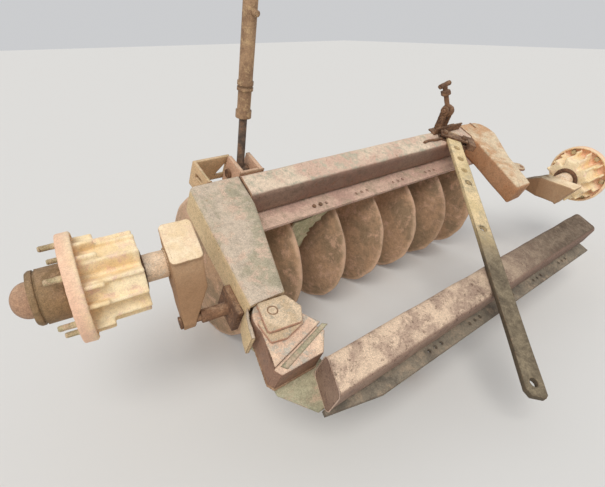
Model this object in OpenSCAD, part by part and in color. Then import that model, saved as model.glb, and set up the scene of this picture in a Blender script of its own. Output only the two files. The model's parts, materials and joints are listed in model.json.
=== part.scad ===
// Offset disc harrow, scrapped: front gang in place, rear gang and both tyres gone.
// The frame is drawn level (x across, y forward, z up from the underside of the
// beams) and then set down on its discs and its rear gang stands.

/* [Beams] */
// Width of the box beams from front to back
beam_w = 126; // [110:1:140]
// Height of the box beams
beam_h = 120; // [105:1:135]
// Radius along the edges of the box beams
beam_edge_r = 22; // [12:1:30]
// Distance from the front beam's middle back to its scraper hole line
beam_to_holes = 108; // [96:1:120]
// Left end of the front beam, at its front edge
front_left_x = -355; // [-380:1:-340]
// Right end of the front beam, where the corner begins
front_right_x = 1188; // [1160:1:1260]
// Middle of the rear beam, back from the front hole line
rear_beam_back = 694; // [680:1:760]
// Left end of the rear beam, at its front edge
rear_left_x = -536; // [-545:1:-500]
// Right end of the rear beam
rear_right_x = 1300; // [1200:1:1310]
// How far the rear beam's left end is cut back over its width
rear_end_cut = 48; // [20:1:60]

/* [Side beams] */
// Width of the left side beam at the front
left_side_w = 225; // [190:1:235]
// Width of the left side beam where it meets the hinge
left_side_end_w = 132; // [120:1:150]
// How far the left side beam reaches back to the hinge line
left_side_reach = 380; // [360:1:390]
// Sideways lean of the left side beam from front to hinge
left_side_lean = 66; // [50:1:80]
// Radius of the outer front corner on the left
left_corner_r = 30; // [15:1:45]
// Width of the right side beam at its rear end
right_side_end_w = 133; // [110:1:150]
// How far the right side beam reaches back
right_side_reach = 365; // [300:1:380]
// How far the right corner stands out past the front beam
right_corner_out = 250; // [220:1:265]
// Radius of the rounded front corner on the right
right_corner_r = 100; // [70:1:120]
// Sideways lean of the right side beam from front to rear
right_side_lean = 96; // [70:1:110]

/* [Gang plates] */
// Thickness of the plates under both beams
plate_t = 12; // [8:1:16]
// How far the front plate shows behind its hole line
front_plate_rear = 38; // [30:1:50]
// Distance of the rear hole line behind the rear beam
rear_hole_out = 18; // [16:1:24]
// How far the rear plate shows behind the rear beam
rear_plate_out = 50; // [42:1:60]
// Distance between the scraper bolt groups
group_step = 270; // [260:1:280]
// Distance between the three holes of a group
hole_step = 37.5; // [34:0.5:42]
// Radius of a scraper bolt hole
hole_r = 7; // [5:0.5:9]

/* [Discs] */
// Radius of a disc
disc_r = 330; // [300:1:340]
// Thickness of a disc
disc_t = 6; // [5:0.5:8]
// Depth of a disc's dish
disc_dish = 75; // [60:1:85]
// Radius of the flat middle of a disc
disc_flat_r = 62; // [61:1:70]
// Distance from disc to disc
disc_step = 270; // [250:1:280]
// Place of the first disc's rim across the machine
first_disc_x = -435; // [-440:1:-425]
// Depth of the gang shaft below the beams
axle_drop = 360; // [350:1:400]
// Gang shaft's distance behind the middle of the beam
axle_back = 3; // [0:1:10]
// Side of the square gang shaft
shaft_side = 36; // [30:1:36]
// Radius of a spool
spool_r = 45; // [40:1:48]
// Radius of a spool's end flange
spool_flange_r = 60; // [55:1:62]

/* [Gang stands] */
// Outer radius of a gang bearing
bearing_r = 70; // [66:1:74]
// Length of a gang bearing along the shaft
bearing_len = 90; // [70:1:100]
// Height of a bearing's seat above the shaft
seat_rise = 78; // [76:1:84]
// Width of a stand's seat from front to back
seat_w = 130; // [110:1:140]
// Thickness of a stand's upright plate
stand_t = 22; // [16:1:28]
// Place of the left rear stand across the machine
rear_stand_x = 0; // [-60:1:60]
// Distance between the rear stands
rear_stand_step = 810; // [700:1:900]

/* [Hinge] */
// Place of the hinge pin across the machine
pin_x = -590; // [-600:1:-580]
// Distance of the hinge pin behind the front hole line
pin_back = 440; // [430:1:450]
// Radius of the hinge pin
pin_r = 25; // [20:1:30]
// Radius of the hinge knuckle
knuckle_r = 78; // [70:1:80]
// Top of the hinge knuckle
knuckle_top = 100; // [90:1:104]
// Thickness of each hinge cap plate
cap_plate_t = 13; // [10:1:16]

/* [Angle bar] */
// Width of the angle bar
bar_w = 80; // [70:1:90]
// Thickness of the angle bar
bar_t = 18; // [14:1:22]
// Distance between the bar's adjusting holes
bar_hole_step = 99; // [90:1:105]
// Distance from the first adjusting hole to the far hole
bar_far_hole = 1370; // [1320:1:1400]
// Radius of the bar's holes
bar_hole_r = 17; // [10:1:20]
// Air between the bar and the beams below it
bar_lift = 6; // [5.5:0.5:10]

/* [Link work] */
// Distance of the link work in from the front beam's right end
link_in = 280; // [270:1:290]
// Height of the link's pivot over the beam
link_rise = 140; // [120:1:150]
// How far the link's uprights lean to the left
link_lean = 36; // [24:1:40]

/* [Wheel arms] */
// Width of a wheel arm across the machine
arm_w = 98; // [88:1:104]
// Distance of the left pivot's middle out from its side beam
left_arm_out = 126; // [120:1:150]
// Distance of the right pivot's middle out from its side beam
right_arm_out = 160; // [155:1:180]
// Distance of the arm pivots behind the front hole line
arm_pivot_back = 277; // [265:1:290]
// Depth of the arm pivots below the beams
arm_pivot_drop = 16; // [8:1:24]
// Radius of the arm pivots
pivot_r = 14; // [12:1:16]
// Height of the hub line above an arm's pivot
arm_rise = 190; // [180:1:200]
// Distance of the hub line ahead of an arm's pivot
arm_ahead = 69; // [60:1:75]
// Slope of an arm's capped top
arm_cap_slope = 33; // [28:1:40]
// Backward lean of the left arm as it stands
left_arm_lean = 3; // [0:0.5:6]
// Backward lean of the right arm as it stands
right_arm_lean = 97; // [90:1:105]
// How far the left arm's axis turns forward at its outer end
left_arm_toe = 13.5; // [12:0.5:15]
// How far the left arm's axis drops at its outer end
left_arm_droop = 4; // [2:0.5:6]
// Radius of the stub axle
stub_r = 44; // [42:1:48]
// Bare length of the stub axle between arm and hub
stub_len = 77; // [70:1:86]

/* [Wheel hubs] */
// Radius of the wheel flange
flange_r = 165; // [155:1:175]
// Thickness of the wheel flange
flange_t = 18; // [14:1:22]
// Thickness of the lip round the flange's inboard face
rim_lip_t = 12; // [8:1:12]
// Height of that lip
rim_lip = 24; // [16:1:30]
// Length of the ribbed hub casting inboard of the flange
casting_len = 188; // [175:1:200]
// Radius over the ribs of the casting
rib_r = 122; // [115:1:130]
// Radius of the casting between the ribs
core_r = 84; // [78:1:90]
// How far a rib stands up further beside the flange
rib_step = 20; // [12:1:22]
// Radius of the circle that the wheel studs stand on
stud_circle_r = 135; // [133:1:145]
// How far the left hub has turned as it stands
left_hub_turned = 14; // [0:1:60]
// Radius of a wheel stud
stud_r = 9; // [8:0.5:11]
// Bare length of a wheel stud
stud_len = 48; // [40:1:60]
// Radius of the outboard barrel that centres the wheel
barrel_r = 82; // [76:1:90]
// Length of the outboard barrel
barrel_len = 85; // [78:1:100]
// Radius of the grease cap
grease_cap_r = 54; // [48:1:60]
// Radius of the spindle inside the hub
spindle_r = 36; // [30:1:38]

/* [Ram] */
// Place of the ram across the machine
ram_x = -290; // [-300:1:-285]
// Distance of the ram's foot pin ahead of the front beam
ram_ahead = 74; // [70:1:85]
// Height of the ram's foot pin above the beams' underside
ram_pin_z = 60; // [50:1:70]
// Forward lean of the ram from square to the frame
ram_lean = 16; // [10:1:25]
// Radius of the ram's rod
rod_r = 16; // [14:0.5:18]
// Radius of the ram's barrel
ram_r = 27; // [25:0.5:30]
// Distance from the foot pin to the barrel's end
rod_bare = 235; // [225:1:260]
// Length of the ram's barrel
ram_len = 420; // [380:1:480]
// Radius of the ram's pins
ram_pin_r = 15; // [12:0.5:16]
// Inner width between the clevis plates
clevis_gap = 72; // [66:1:80]
// Thickness of a clevis plate
clevis_t = 18; // [14:1:22]

/* [Hidden] */
// Gap between pieces that are bolted or welded face to face
seat = 0.3;
// Gap between a turning part and its shaft
run = 0.05;
// Gap between the hinge knuckle and the plates above and below it
hinge_gap = 1;
$fn = 48;
disc_count = 7;
stud_count = 6;
group_count = 5;
first_group_x = 0;
rear_group_x = -45;
disc_pad_t = 9;
inch_bolt_r = 10;

front_y = beam_to_holes;
front_face_y = front_y + beam_w / 2;
front_back_y = front_y - beam_w / 2;
rear_y = -rear_beam_back;
rear_front_y = rear_y + beam_w / 2;
rear_back_y = rear_y - beam_w / 2;
axle_y = front_y - axle_back;
axle_z = -axle_drop;
pin_y = -pin_back;
gang_under = -plate_t - seat;
seat_z = axle_z + seat_rise + seat;

// The stands are alike at both beams, so the rear ones reach the floor when the
// frame leans back by this angle on its discs.
foot_back = axle_y - rear_y + seat_w / 2;
foot_rise = seat_z - axle_z;
tilt = acos(-disc_r / norm([foot_back, foot_rise])) - atan2(foot_back, foot_rise);

// Discs
sphere_r = (disc_r * disc_r + disc_dish * disc_dish) / (2 * disc_dish);
function rim_x(k) = first_disc_x + k * disc_step;
function apex_x(k) = rim_x(k) - disc_dish;
spool_len = disc_step - disc_pad_t - 2 * seat;
function spool_x(k) = apex_x(k) + disc_pad_t + seat;
bearing_spools = [1, 4];
function bearing_x(i) = spool_x(bearing_spools[i]) + spool_len / 2;
shaft_left = apex_x(0) - 60;
shaft_right = apex_x(disc_count - 1) + disc_pad_t + 60;

// Side beam outlines, as points from the front left corner round
left_front_x = front_left_x - left_side_w;
left_rear_x = left_front_x - left_side_lean;
left_rear_y = -left_side_reach;
left_points = [
    [left_front_x, front_face_y],
    [front_left_x, front_face_y],
    [front_left_x - 23, front_back_y - 33],
    [left_rear_x + left_side_end_w, left_rear_y],
    [left_rear_x - 14, left_rear_y - 50]
];
left_radii = [left_corner_r, 2, 20, 8, 8];
right_inner_rear_x = front_right_x - right_side_lean;
right_points = [
    [front_right_x, front_face_y],
    [front_right_x + right_corner_out, front_face_y],
    [front_right_x + right_corner_out - 8, front_back_y - 10],
    [front_right_x + 112, -163],
    [right_inner_rear_x + right_side_end_w, -right_side_reach],
    [right_inner_rear_x, -right_side_reach],
    [front_right_x, front_back_y - 50]
];
right_radii = [1, right_corner_r, 40, 60, 12, 12, 20];
left_outer_end = left_points[4];
function left_outer_x(y) =
    left_front_x
    + (left_outer_end.x - left_front_x) * (front_face_y - y) / (front_face_y - left_outer_end.y);
right_outer_x = front_right_x + 68;

// Wheel arms
wall_t = 24;
wall_len = 120;
left_arm_x = left_outer_x(-arm_pivot_back) - left_arm_out;
right_arm_x = right_outer_x + right_arm_out;
hub_out = arm_w / 2 + stub_len + casting_len + flange_t;
cap_top = barrel_len + 22 + 48;
arm_back = -19;
arm_top_ahead = arm_ahead + 25;
arm_top_rise = arm_rise + 112;
arm_cap_run = arm_top_ahead - arm_back;
arm_cap_fall = arm_cap_run * tan(arm_cap_slope);

// Angle bar: a line from its first hole back to its far hole
bar_first = [927, -12];
bar_turn = atan2(-1054, -874);
bar_front_end = 150;
bar_rear_end = 52;
bar_z = beam_h + bar_lift;
bar_holes = [0, 1, 2, 3];
bar_middle_hole = 625;

// Where the machine's own origin lies: on the floor, under the middle of its box
function row_y(y, z) = (y - axle_y) * cos(tilt) - (z - axle_z) * sin(tilt);
bar_tip = [bar_far_hole + bar_rear_end, bar_w / 2 - 10];
bar_tip_y = bar_first.y + bar_tip.x * sin(bar_turn) + bar_tip.y * cos(bar_turn);
axis_across = cos(left_arm_toe) * cos(left_arm_droop);
left_hub_shift =
    sin(left_arm_toe) * (arm_ahead * cos(left_arm_lean) - arm_rise * sin(left_arm_lean))
    - cos(left_arm_toe) * sin(left_arm_droop)
        * (arm_ahead * sin(left_arm_lean) + arm_rise * cos(left_arm_lean));
dome_rise = 48;
left_dome = norm([dome_rise * axis_across, grease_cap_r * sqrt(1 - axis_across ^ 2)]);
left_tip_x =
    left_arm_x + left_hub_shift - axis_across * (hub_out + cap_top - dome_rise) - left_dome;
origin_x = (left_tip_x + right_arm_x + hub_out + cap_top) / 2;
origin_y = (disc_r + row_y(bar_tip_y, bar_z + bar_t)) / 2;

// Rounding of an outline's corners by arcs
function unit(v) = v / norm(v);
function turn_of(v) = atan2(v.y, v.x);
function short_turn(a) = a > 180 ? a - 360 : a < -180 ? a + 360 : a;
function corner_arc(p, q, s, r, steps = 6) =
    let (
        a = unit(p - q),
        b = unit(s - q),
        half = acos(a * b) / 2,
        centre = q + unit(a + b) * r / sin(half),
        from = turn_of(q + a * r / tan(half) - centre),
        sweep = short_turn(turn_of(q + b * r / tan(half) - centre) - from)
    )
    [for (i = [0:steps]) centre + r * [cos(from + sweep * i / steps), sin(from + sweep * i / steps)]];
function round_outline(points, radii) =
    let (n = len(points))
    [for (i = [0:n - 1])
        each corner_arc(points[(i + n - 1) % n], points[i], points[(i + 1) % n], radii[i])];

// Placing helpers
module stance() {
    translate([-origin_x, -origin_y, disc_r])
        rotate([tilt, 0, 0])
            translate([0, -axle_y, -axle_z]) children();
}
module along_x(x, y, z) {
    translate([x, y, z]) rotate([0, 90, 0]) children();
}
module at_left_arm() {
    translate([left_arm_x, -arm_pivot_back, -arm_pivot_drop]) rotate([-tilt, 0, 0])
        rotate([left_arm_lean, -left_arm_droop, -left_arm_toe]) children();
}
module at_right_arm() {
    translate([right_arm_x, -arm_pivot_back, -arm_pivot_drop])
        rotate([right_arm_lean - tilt, 0, 0]) children();
}
// A hub is drawn with its axis along z, the wheel side up from z = 0
module at_left_hub() {
    at_left_arm() translate([-hub_out, arm_ahead, arm_rise]) rotate([0, -90, 0])
        rotate([0, 0, left_hub_turned]) children();
}
module at_right_hub() {
    at_right_arm() translate([hub_out, arm_ahead, arm_rise]) rotate([0, 90, 0]) children();
}
module at_ram() {
    translate([ram_x, front_face_y + ram_ahead, ram_pin_z]) rotate([-ram_lean, 0, 0]) children();
}
module on_bar() {
    translate([bar_first.x, bar_first.y, bar_z]) rotate([0, 0, bar_turn]) children();
}

// Box section beam lying along x, underside at z = 0
module box_beam(x_from, x_to, y_mid) {
    r = beam_edge_r;
    translate([x_from, y_mid, 0]) rotate([90, 0, 90]) linear_extrude(x_to - x_from) {
        translate([-beam_w / 2 + r, 0]) square([beam_w - 2 * r, beam_h]);
        translate([-beam_w / 2, r]) square([beam_w, beam_h - 2 * r]);
        for (sx = [-1, 1], z = [r, beam_h - r]) translate([sx * (beam_w / 2 - r), z]) circle(r);
    }
}
module hole_groups(y, x_first) {
    for (g = [0:group_count - 1], h = [-1:1])
        translate([x_first + g * group_step + h * hole_step, y, -plate_t - 1])
            cylinder(r = hole_r, h = plate_t + 2);
}

module front_beam() {
    color("rosybrown") stance() difference() {
        box_beam(front_left_x - 60, front_right_x - seat, front_y);
        translate([0, 0, -1]) linear_extrude(beam_h + 2) polygon([
            [front_left_x - 80, front_face_y + 10],
            [front_left_x + 2 * seat + 1.5, front_face_y + 10],
            [front_left_x - 23 + 2 * seat, front_back_y - 33],
            [front_left_x - 80, front_back_y - 33]
        ]);
    }
}

module front_gang_plate() {
    color("thistle") stance() difference() {
        translate([front_left_x + 10, -front_plate_rear, -plate_t - seat])
            cube([front_right_x - front_left_x + 30, front_plate_rear + front_y + 30, plate_t]);
        hole_groups(0, first_group_x);
    }
}

// The top plate ends square ahead of the cap plates, and the outer wall runs on past the knuckle
module left_side_beam() {
    end_y = pin_y + 61;
    color("silver") stance() {
        difference() {
            linear_extrude(beam_h) polygon(round_outline(left_points, left_radii));
            translate([pin_x, pin_y, -1]) cylinder(r = knuckle_r + 8, h = knuckle_top + 7);
            translate([pin_x - 150, end_y - 200, knuckle_top - 8]) cube([300, 200, 60]);
        }
        difference() {
            linear_extrude(knuckle_top - 8) polygon([
                [left_outer_x(end_y + 10) + 16, end_y + 10], [left_outer_x(end_y + 10) + 1, end_y + 10],
                [pin_x - 82, pin_y + 50], [pin_x - 100, pin_y + 8], [pin_x - 111, pin_y - 29],
                [pin_x - 99, pin_y - 32], [pin_x - 80, pin_y + 20]
            ]);
            translate([pin_x, pin_y, -1]) cylinder(r = knuckle_r + 8, h = beam_h);
        }
    }
}

module right_side_beam() {
    color("wheat") stance()
        linear_extrude(beam_h) polygon(round_outline(right_points, right_radii));
}

// Lower hinge ear, welded under the left side beam
module hinge_ear() {
    color("tan") stance() difference() {
        translate([0, 0, -seat - 18]) linear_extrude(18) union() {
            translate([pin_x, pin_y]) circle(knuckle_r);
            translate([pin_x + 6, pin_y]) square([knuckle_r - 20, 200]);
        }
        translate([pin_x, pin_y, -30]) cylinder(r = pin_r + seat, h = 40);
    }
}

module hinge_pin() {
    color("dimgray") stance() translate([pin_x, pin_y, 0]) {
        translate([0, 0, -18 - 2 * seat - 16]) cylinder(r = pin_r + 14, h = 16);
        translate([0, 0, -18 - 2 * seat - 1])
            cylinder(r = pin_r, h = knuckle_top + 2 * cap_plate_t + 20);
    }
}

// Two five-sided plates that keep the knuckle on its pin
module hinge_cap_plates() {
    color("beige") stance() difference() {
        union() {
            translate([0, 0, knuckle_top + hinge_gap]) linear_extrude(cap_plate_t) polygon([
                [pin_x - 74, pin_y + 6], [pin_x + 64, pin_y + 30], [pin_x + 66, pin_y - 62],
                [pin_x - 20, pin_y - 84], [pin_x - 74, pin_y - 74]
            ]);
            translate([0, 0, knuckle_top + hinge_gap + cap_plate_t + seat])
                linear_extrude(cap_plate_t) polygon([
                    [pin_x - 46, pin_y + 58], [pin_x + 60, pin_y + 48], [pin_x + 86, pin_y - 12],
                    [pin_x + 54, pin_y - 62], [pin_x - 70, pin_y - 48]
                ]);
        }
        translate([pin_x, pin_y, knuckle_top]) cylinder(r = pin_r + seat, h = 60);
    }
}

// Open box ahead of the left corner that took one leg of the missing drawbar
module hitch_bracket() {
    left = left_front_x + 88;
    depth = 128;
    wide = 165;
    wall = 12;
    color("tan") stance() difference() {
        translate([left, front_face_y + seat, 0]) cube([wide, depth, beam_h - 4]);
        translate([left + wall, front_face_y - 1, -1]) cube([wide, depth + 1 - wall, beam_h]);
        translate([left - 1, front_face_y + 48, 62]) cube([wall + 2, 44, 20]);
        translate([left + wide - 56, front_face_y + depth + 1, 24]) rotate([90, 0, 0])
            linear_extrude(wall + 2) polygon([[0, 0], [46, 0], [46, 66]]);
    }
}

module ram_clevis() {
    left = ram_x - clevis_gap / 2 - clevis_t;
    deep = ram_ahead + 34;
    color("mistyrose") stance() difference() {
        union() {
            translate([left, front_face_y + seat, 0])
                cube([clevis_gap + 2 * clevis_t, 16, beam_h]);
            for (x = [left, left + clevis_t + clevis_gap])
                translate([x, front_face_y + seat, 0]) cube([clevis_t, deep, beam_h + 4]);
        }
        along_x(left - 1, front_face_y + ram_ahead, ram_pin_z)
            cylinder(r = ram_pin_r + seat, h = clevis_gap + 2 * clevis_t + 2);
    }
}

module ram_foot_pin() {
    left = ram_x - clevis_gap / 2 - clevis_t - seat;
    color("dimgray") stance() {
        along_x(left - 8, front_face_y + ram_ahead, ram_pin_z) {
            cylinder(r = ram_pin_r + 6, h = 8);
            cylinder(r = ram_pin_r, h = clevis_gap + 2 * clevis_t + 22);
        }
    }
}

// One gang stand: top plate, upright with two gussets, and bearing seat
module stand(x, y) {
    tall = gang_under - seat - seat_z;
    translate([x, y, seat_z]) {
        translate([-50, -seat_w / 2, tall - 14]) cube([100, seat_w, 14]);
        translate([-50, -seat_w / 2, 0]) cube([100, seat_w, 14]);
        translate([-stand_t / 2, -seat_w / 2 + 12, 10]) cube([stand_t, seat_w - 24, tall - 20]);
        for (sy = [-1, 1])
            translate([-40, sy * (seat_w / 2 - 22) - 6, 10]) cube([80, 12, tall - 20]);
    }
}

module gang_stands() {
    color("sienna") stance()
        for (i = [0:1]) stand(bearing_x(i), axle_y);
}

module gang_bearings() {
    color("saddlebrown") stance() for (i = [0:1]) difference() {
        union() {
            along_x(bearing_x(i) - bearing_len / 2, axle_y, axle_z)
                cylinder(r = bearing_r, h = bearing_len);
            translate([bearing_x(i) - bearing_len / 2, axle_y - seat_w / 2, axle_z + seat_rise - 20])
                cube([bearing_len, seat_w, 20]);
            translate([bearing_x(i) - bearing_len / 2, axle_y - bearing_r, axle_z])
                cube([bearing_len, 2 * bearing_r, seat_rise - 10]);
        }
        along_x(bearing_x(i) - bearing_len, axle_y, axle_z)
            cylinder(r = spool_r + run, h = 2 * bearing_len);
    }
}

// The one scraper left on the machine, with its worn toothed edge
module scraper() {
    color("palegoldenrod") stance()
        translate([0, -10, gang_under - seat]) rotate([90, 0, 0]) linear_extrude(8) polygon([
            [52, 0], [60, -22], [24, -60], [28, -76], [-2, -84], [-8, -112],
            [-30, -114], [-14, -136], [-34, -146], [-16, -164], [-34, -180], [-32, -228],
            [-46, -262], [-78, -232], [-126, -146], [-150, -76], [-142, -44], [-92, -40],
            [-40, -34], [-36, 0]
        ]);
}

module angle_bar() {
    length = bar_front_end + bar_far_hole + bar_rear_end;
    color("khaki") stance() on_bar() difference() {
        translate([-bar_front_end, 0, 0]) linear_extrude(bar_t) polygon([
            [0, -bar_w / 2], [length - 22, -bar_w / 2], [length, -bar_w / 2 + 16],
            [length, bar_w / 2 - 10], [length - 12, bar_w / 2], [0, bar_w / 2]
        ]);
        for (i = bar_holes) translate([i * bar_hole_step, 0, -1])
            cylinder(r = bar_hole_r, h = bar_t + 2);
        for (s = [bar_middle_hole, bar_far_hole]) translate([s, 0, -1])
            cylinder(r = bar_hole_r, h = bar_t + 2);
    }
}

// Clamp that holds the bar's front end on the front beam
module bar_clamp() {
    reach = bar_w / 2 + 40;
    color("peru") stance() on_bar() {
        translate([-125, -reach, -bar_lift + seat]) cube([50, 2 * reach, bar_lift - 2 * seat]);
        translate([-125, -reach, bar_t + seat]) cube([50, 2 * reach, 10]);
        for (sy = [-1, 1]) translate([-100, sy * (bar_w / 2 + 18), -bar_lift + seat])
            cylinder(r = inch_bolt_r, h = bar_lift + bar_t + 26);
        translate([-138, bar_w / 2 + 44, -bar_lift + seat]) cube([84, 42, 34]);
        translate([-125, bar_w / 2 + 36, -bar_lift + seat]) cube([50, 12, bar_lift - 2 * seat]);
    }
}

// Rusted link work on top of the right corner
module link_stand() {
    x = front_right_x - link_in;
    y = front_y + 28;
    color("saddlebrown") stance() difference() {
        translate([x, y, beam_h + seat]) {
            difference() {
                cube([246, 48, 44]);
                translate([-1, 10, 10]) cube([250, 48, 50]);
            }
            for (px = [42, 92]) {
                translate([0, 44, 0]) rotate([90, 0, 0]) linear_extrude(40) polygon([
                    [px, 2], [px + 12, 2], [px + 12 - link_lean, link_rise],
                    [px - link_lean, link_rise]
                ]);
                along_x(px - link_lean, 24, link_rise) cylinder(r = 24, h = 12);
            }
        }
        along_x(x, y + 24, beam_h + seat + link_rise) cylinder(r = 12 + seat, h = 90);
    }
}

module link_rod() {
    x = front_right_x - link_in + 36 - link_lean;
    y = front_y + 28;
    color("tan") stance() translate([x, y + 24, beam_h + seat + link_rise]) {
        along_x(-6, 0, 0) cylinder(r = 12, h = 86);
        along_x(28, 0, 0) cylinder(r = 32, h = 24);
        translate([40, 0, 0]) rotate([-33, -17, 0]) {
            cylinder(r = 13, h = 140);
            translate([0, 0, 84]) cylinder(r = 27, h = 24, $fn = 6);
            translate([0, 0, 138]) rotate([0, 90, 0]) translate([0, 0, -38]) cylinder(r = 13, h = 76);
        }
    }
}

// Shaft through a wheel arm's foot, along x from its head at the wheel side inwards
module pivot_shaft(inboard) {
    head_x = -arm_w / 2 - 9;
    along_x(head_x, 0, 0) cylinder(r = pivot_r + 7, h = 8);
    along_x(head_x, 0, 0) cylinder(r = pivot_r, h = inboard - head_x);
    along_x(14, 0, 0) cylinder(r = pivot_r + 8, h = inboard - 14);
}

// Thick plate on the outside of a side beam that an arm's shaft is welded into
module wall_plate(x, y, turn, out) {
    translate([x, y, -44]) rotate([0, 0, turn])
        translate([out > 0 ? seat : -wall_t - seat, -wall_len / 2, 0])
            cube([wall_t, wall_len, 100]);
}

module left_arm_pivot() {
    turn = -atan2(left_front_x - left_outer_end.x, front_face_y - left_outer_end.y);
    y = -arm_pivot_back - left_arm_out * sin(left_arm_toe) * cos(tilt);
    color("sienna") stance() {
        at_left_arm() pivot_shaft(left_arm_out - wall_t / 2);
        wall_plate(left_outer_x(y), y, turn, -1);
    }
}

module right_arm_pivot() {
    edge = right_points[3] - right_points[4];
    y = -arm_pivot_back;
    x = right_points[4].x + edge.x * (y - right_points[4].y) / edge.y;
    color("sienna") stance() {
        at_right_arm() mirror([1, 0, 0]) pivot_shaft(right_arm_x - x - wall_t / 2);
        wall_plate(x, y, -atan2(edge.x, edge.y), 1);
    }
}

// Lug with an eye on the outside of the right side beam, for the lift ram
module lift_lug() {
    x = front_right_x + 128;
    color("wheat") stance() difference() {
        translate([0, 0, 62]) linear_extrude(12) polygon([
            [x + 14.5, -118], [x + 40, -150], [x + 66, -176], [x + 104, -196], [x + 112, -224],
            [x + 92, -246], [x + 58, -238], [x - 25, -190], [x - 14.6, -163]
        ]);
        translate([x + 88, -220, 60]) cylinder(r = 11, h = 20);
    }
}

module gang_shaft() {
    color("dimgray") stance() {
        translate([shaft_left + 40, axle_y - shaft_side / 2, axle_z - shaft_side / 2])
            cube([shaft_right - shaft_left - 80, shaft_side, shaft_side]);
        along_x(shaft_left, axle_y, axle_z)
            cylinder(r = shaft_side / 2, h = shaft_right - shaft_left);
    }
}

module spool(x, length) {
    difference() {
        union() {
            along_x(x, axle_y, axle_z) cylinder(r = spool_r, h = length);
            for (end_x = [x, x + length - 12])
                along_x(end_x, axle_y, axle_z) cylinder(r = spool_flange_r, h = 12);
        }
        along_x(x - 1, axle_y, axle_z) cylinder(r = shaft_side * 0.7072 + seat, h = length + 2);
    }
}

module gang_spools() {
    color("gray") stance()
        for (k = [0:disc_count - 2]) spool(spool_x(k), spool_len);
}

module gang_end_nuts() {
    color("gray") stance() for (x = [apex_x(0) - seat - 46, apex_x(disc_count - 1) + disc_pad_t + seat])
        difference() {
            union() {
                along_x(x, axle_y, axle_z) cylinder(r = 34, h = 46, $fn = 6);
                along_x(x < 0 ? x + 30 : x, axle_y, axle_z) cylinder(r = spool_flange_r, h = 16);
            }
            along_x(x - 1, axle_y, axle_z) cylinder(r = shaft_side * 0.7072 + seat, h = 48);
        }
}

// A dished disc; its rim lies at rim_x(k) and it bulges to the left
module disc(k) {
    color("rosybrown") stance() translate([apex_x(k), axle_y, axle_z]) difference() {
        union() {
            intersection() {
                translate([sphere_r, 0, 0]) difference() {
                    sphere(r = sphere_r, $fn = 96);
                    sphere(r = sphere_r - disc_t, $fn = 96);
                }
                along_x(-1, 0, 0) cylinder(r = disc_r, h = disc_dish + 20, $fn = 96);
            }
            along_x(0, 0, 0) cylinder(r = disc_flat_r, h = disc_pad_t);
        }
        along_x(-1, 0, 0) cylinder(r = shaft_side * 0.7072 + seat, h = disc_pad_t + 20);
    }
}

module rear_beam() {
    color("rosybrown") stance() difference() {
        box_beam(rear_left_x - rear_end_cut - 10, rear_right_x, rear_y);
        translate([0, 0, -1]) linear_extrude(beam_h + 2) polygon([
            [rear_left_x, rear_front_y], [rear_left_x + 0.01, rear_front_y + 10],
            [rear_left_x - rear_end_cut - 20, rear_front_y + 10],
            [rear_left_x - rear_end_cut - 20, rear_back_y - 10],
            [rear_left_x - rear_end_cut, rear_back_y - 10], [rear_left_x - rear_end_cut, rear_back_y]
        ]);
    }
}

module rear_gang_plate() {
    tail_y = rear_back_y - rear_plate_out;
    color("slategray") stance() difference() {
        translate([0, 0, gang_under]) linear_extrude(plate_t) polygon([
            [rear_left_x + 60, rear_front_y - 16], [rear_right_x, rear_front_y - 16],
            [rear_right_x, tail_y], [rear_left_x + 170, tail_y],
            [rear_left_x - 56, tail_y + 46], [rear_left_x - 52, rear_back_y + 14],
            [rear_left_x + 60, rear_back_y + 14]
        ]);
        hole_groups(rear_back_y - rear_hole_out, rear_group_x);
    }
}

// Knuckle and box that carry the rear beam from the hinge
module rear_hinge_arm() {
    color("linen") stance() difference() {
        union() {
            translate([pin_x, pin_y, -seat + hinge_gap])
                cylinder(r = knuckle_r, h = knuckle_top + seat - hinge_gap);
            translate([0, 0, seat]) linear_extrude(knuckle_top - 8) polygon([
                [pin_x - 74, pin_y - 24], [pin_x - 108, pin_y - 150], [pin_x - 96, pin_y - 172],
                [pin_x + 70, pin_y - 172], [pin_x + 122, pin_y - 110], [pin_x + 74, pin_y - 24]
            ]);
            translate([0, 0, knuckle_top - 10]) linear_extrude(10) polygon([
                [pin_x - 74, pin_y - 24], [pin_x - 106, pin_y - 144],
                [pin_x + 124, pin_y - 80], [pin_x + 76, pin_y - 10]
            ]);
        }
        translate([pin_x, pin_y, -10]) cylinder(r = pin_r + run, h = knuckle_top + 20);
    }
}

// Lower plate that joins the hinge box to the rear beam
module rear_hinge_plate() {
    color("darkseagreen") stance() translate([0, 0, -20]) linear_extrude(20 - seat) polygon([
        [pin_x - 84, pin_y - 96], [pin_x + 104, pin_y - 96],
        [rear_left_x + 56, rear_front_y - 20], [rear_left_x + 56, rear_back_y + 18],
        [rear_left_x - 60, rear_back_y + 18], [pin_x - 92, pin_y - 190]
    ]);
}

module rear_stands() {
    color("sienna") stance()
        for (i = [0:1]) stand(rear_stand_x + i * rear_stand_step, rear_y);
}

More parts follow.
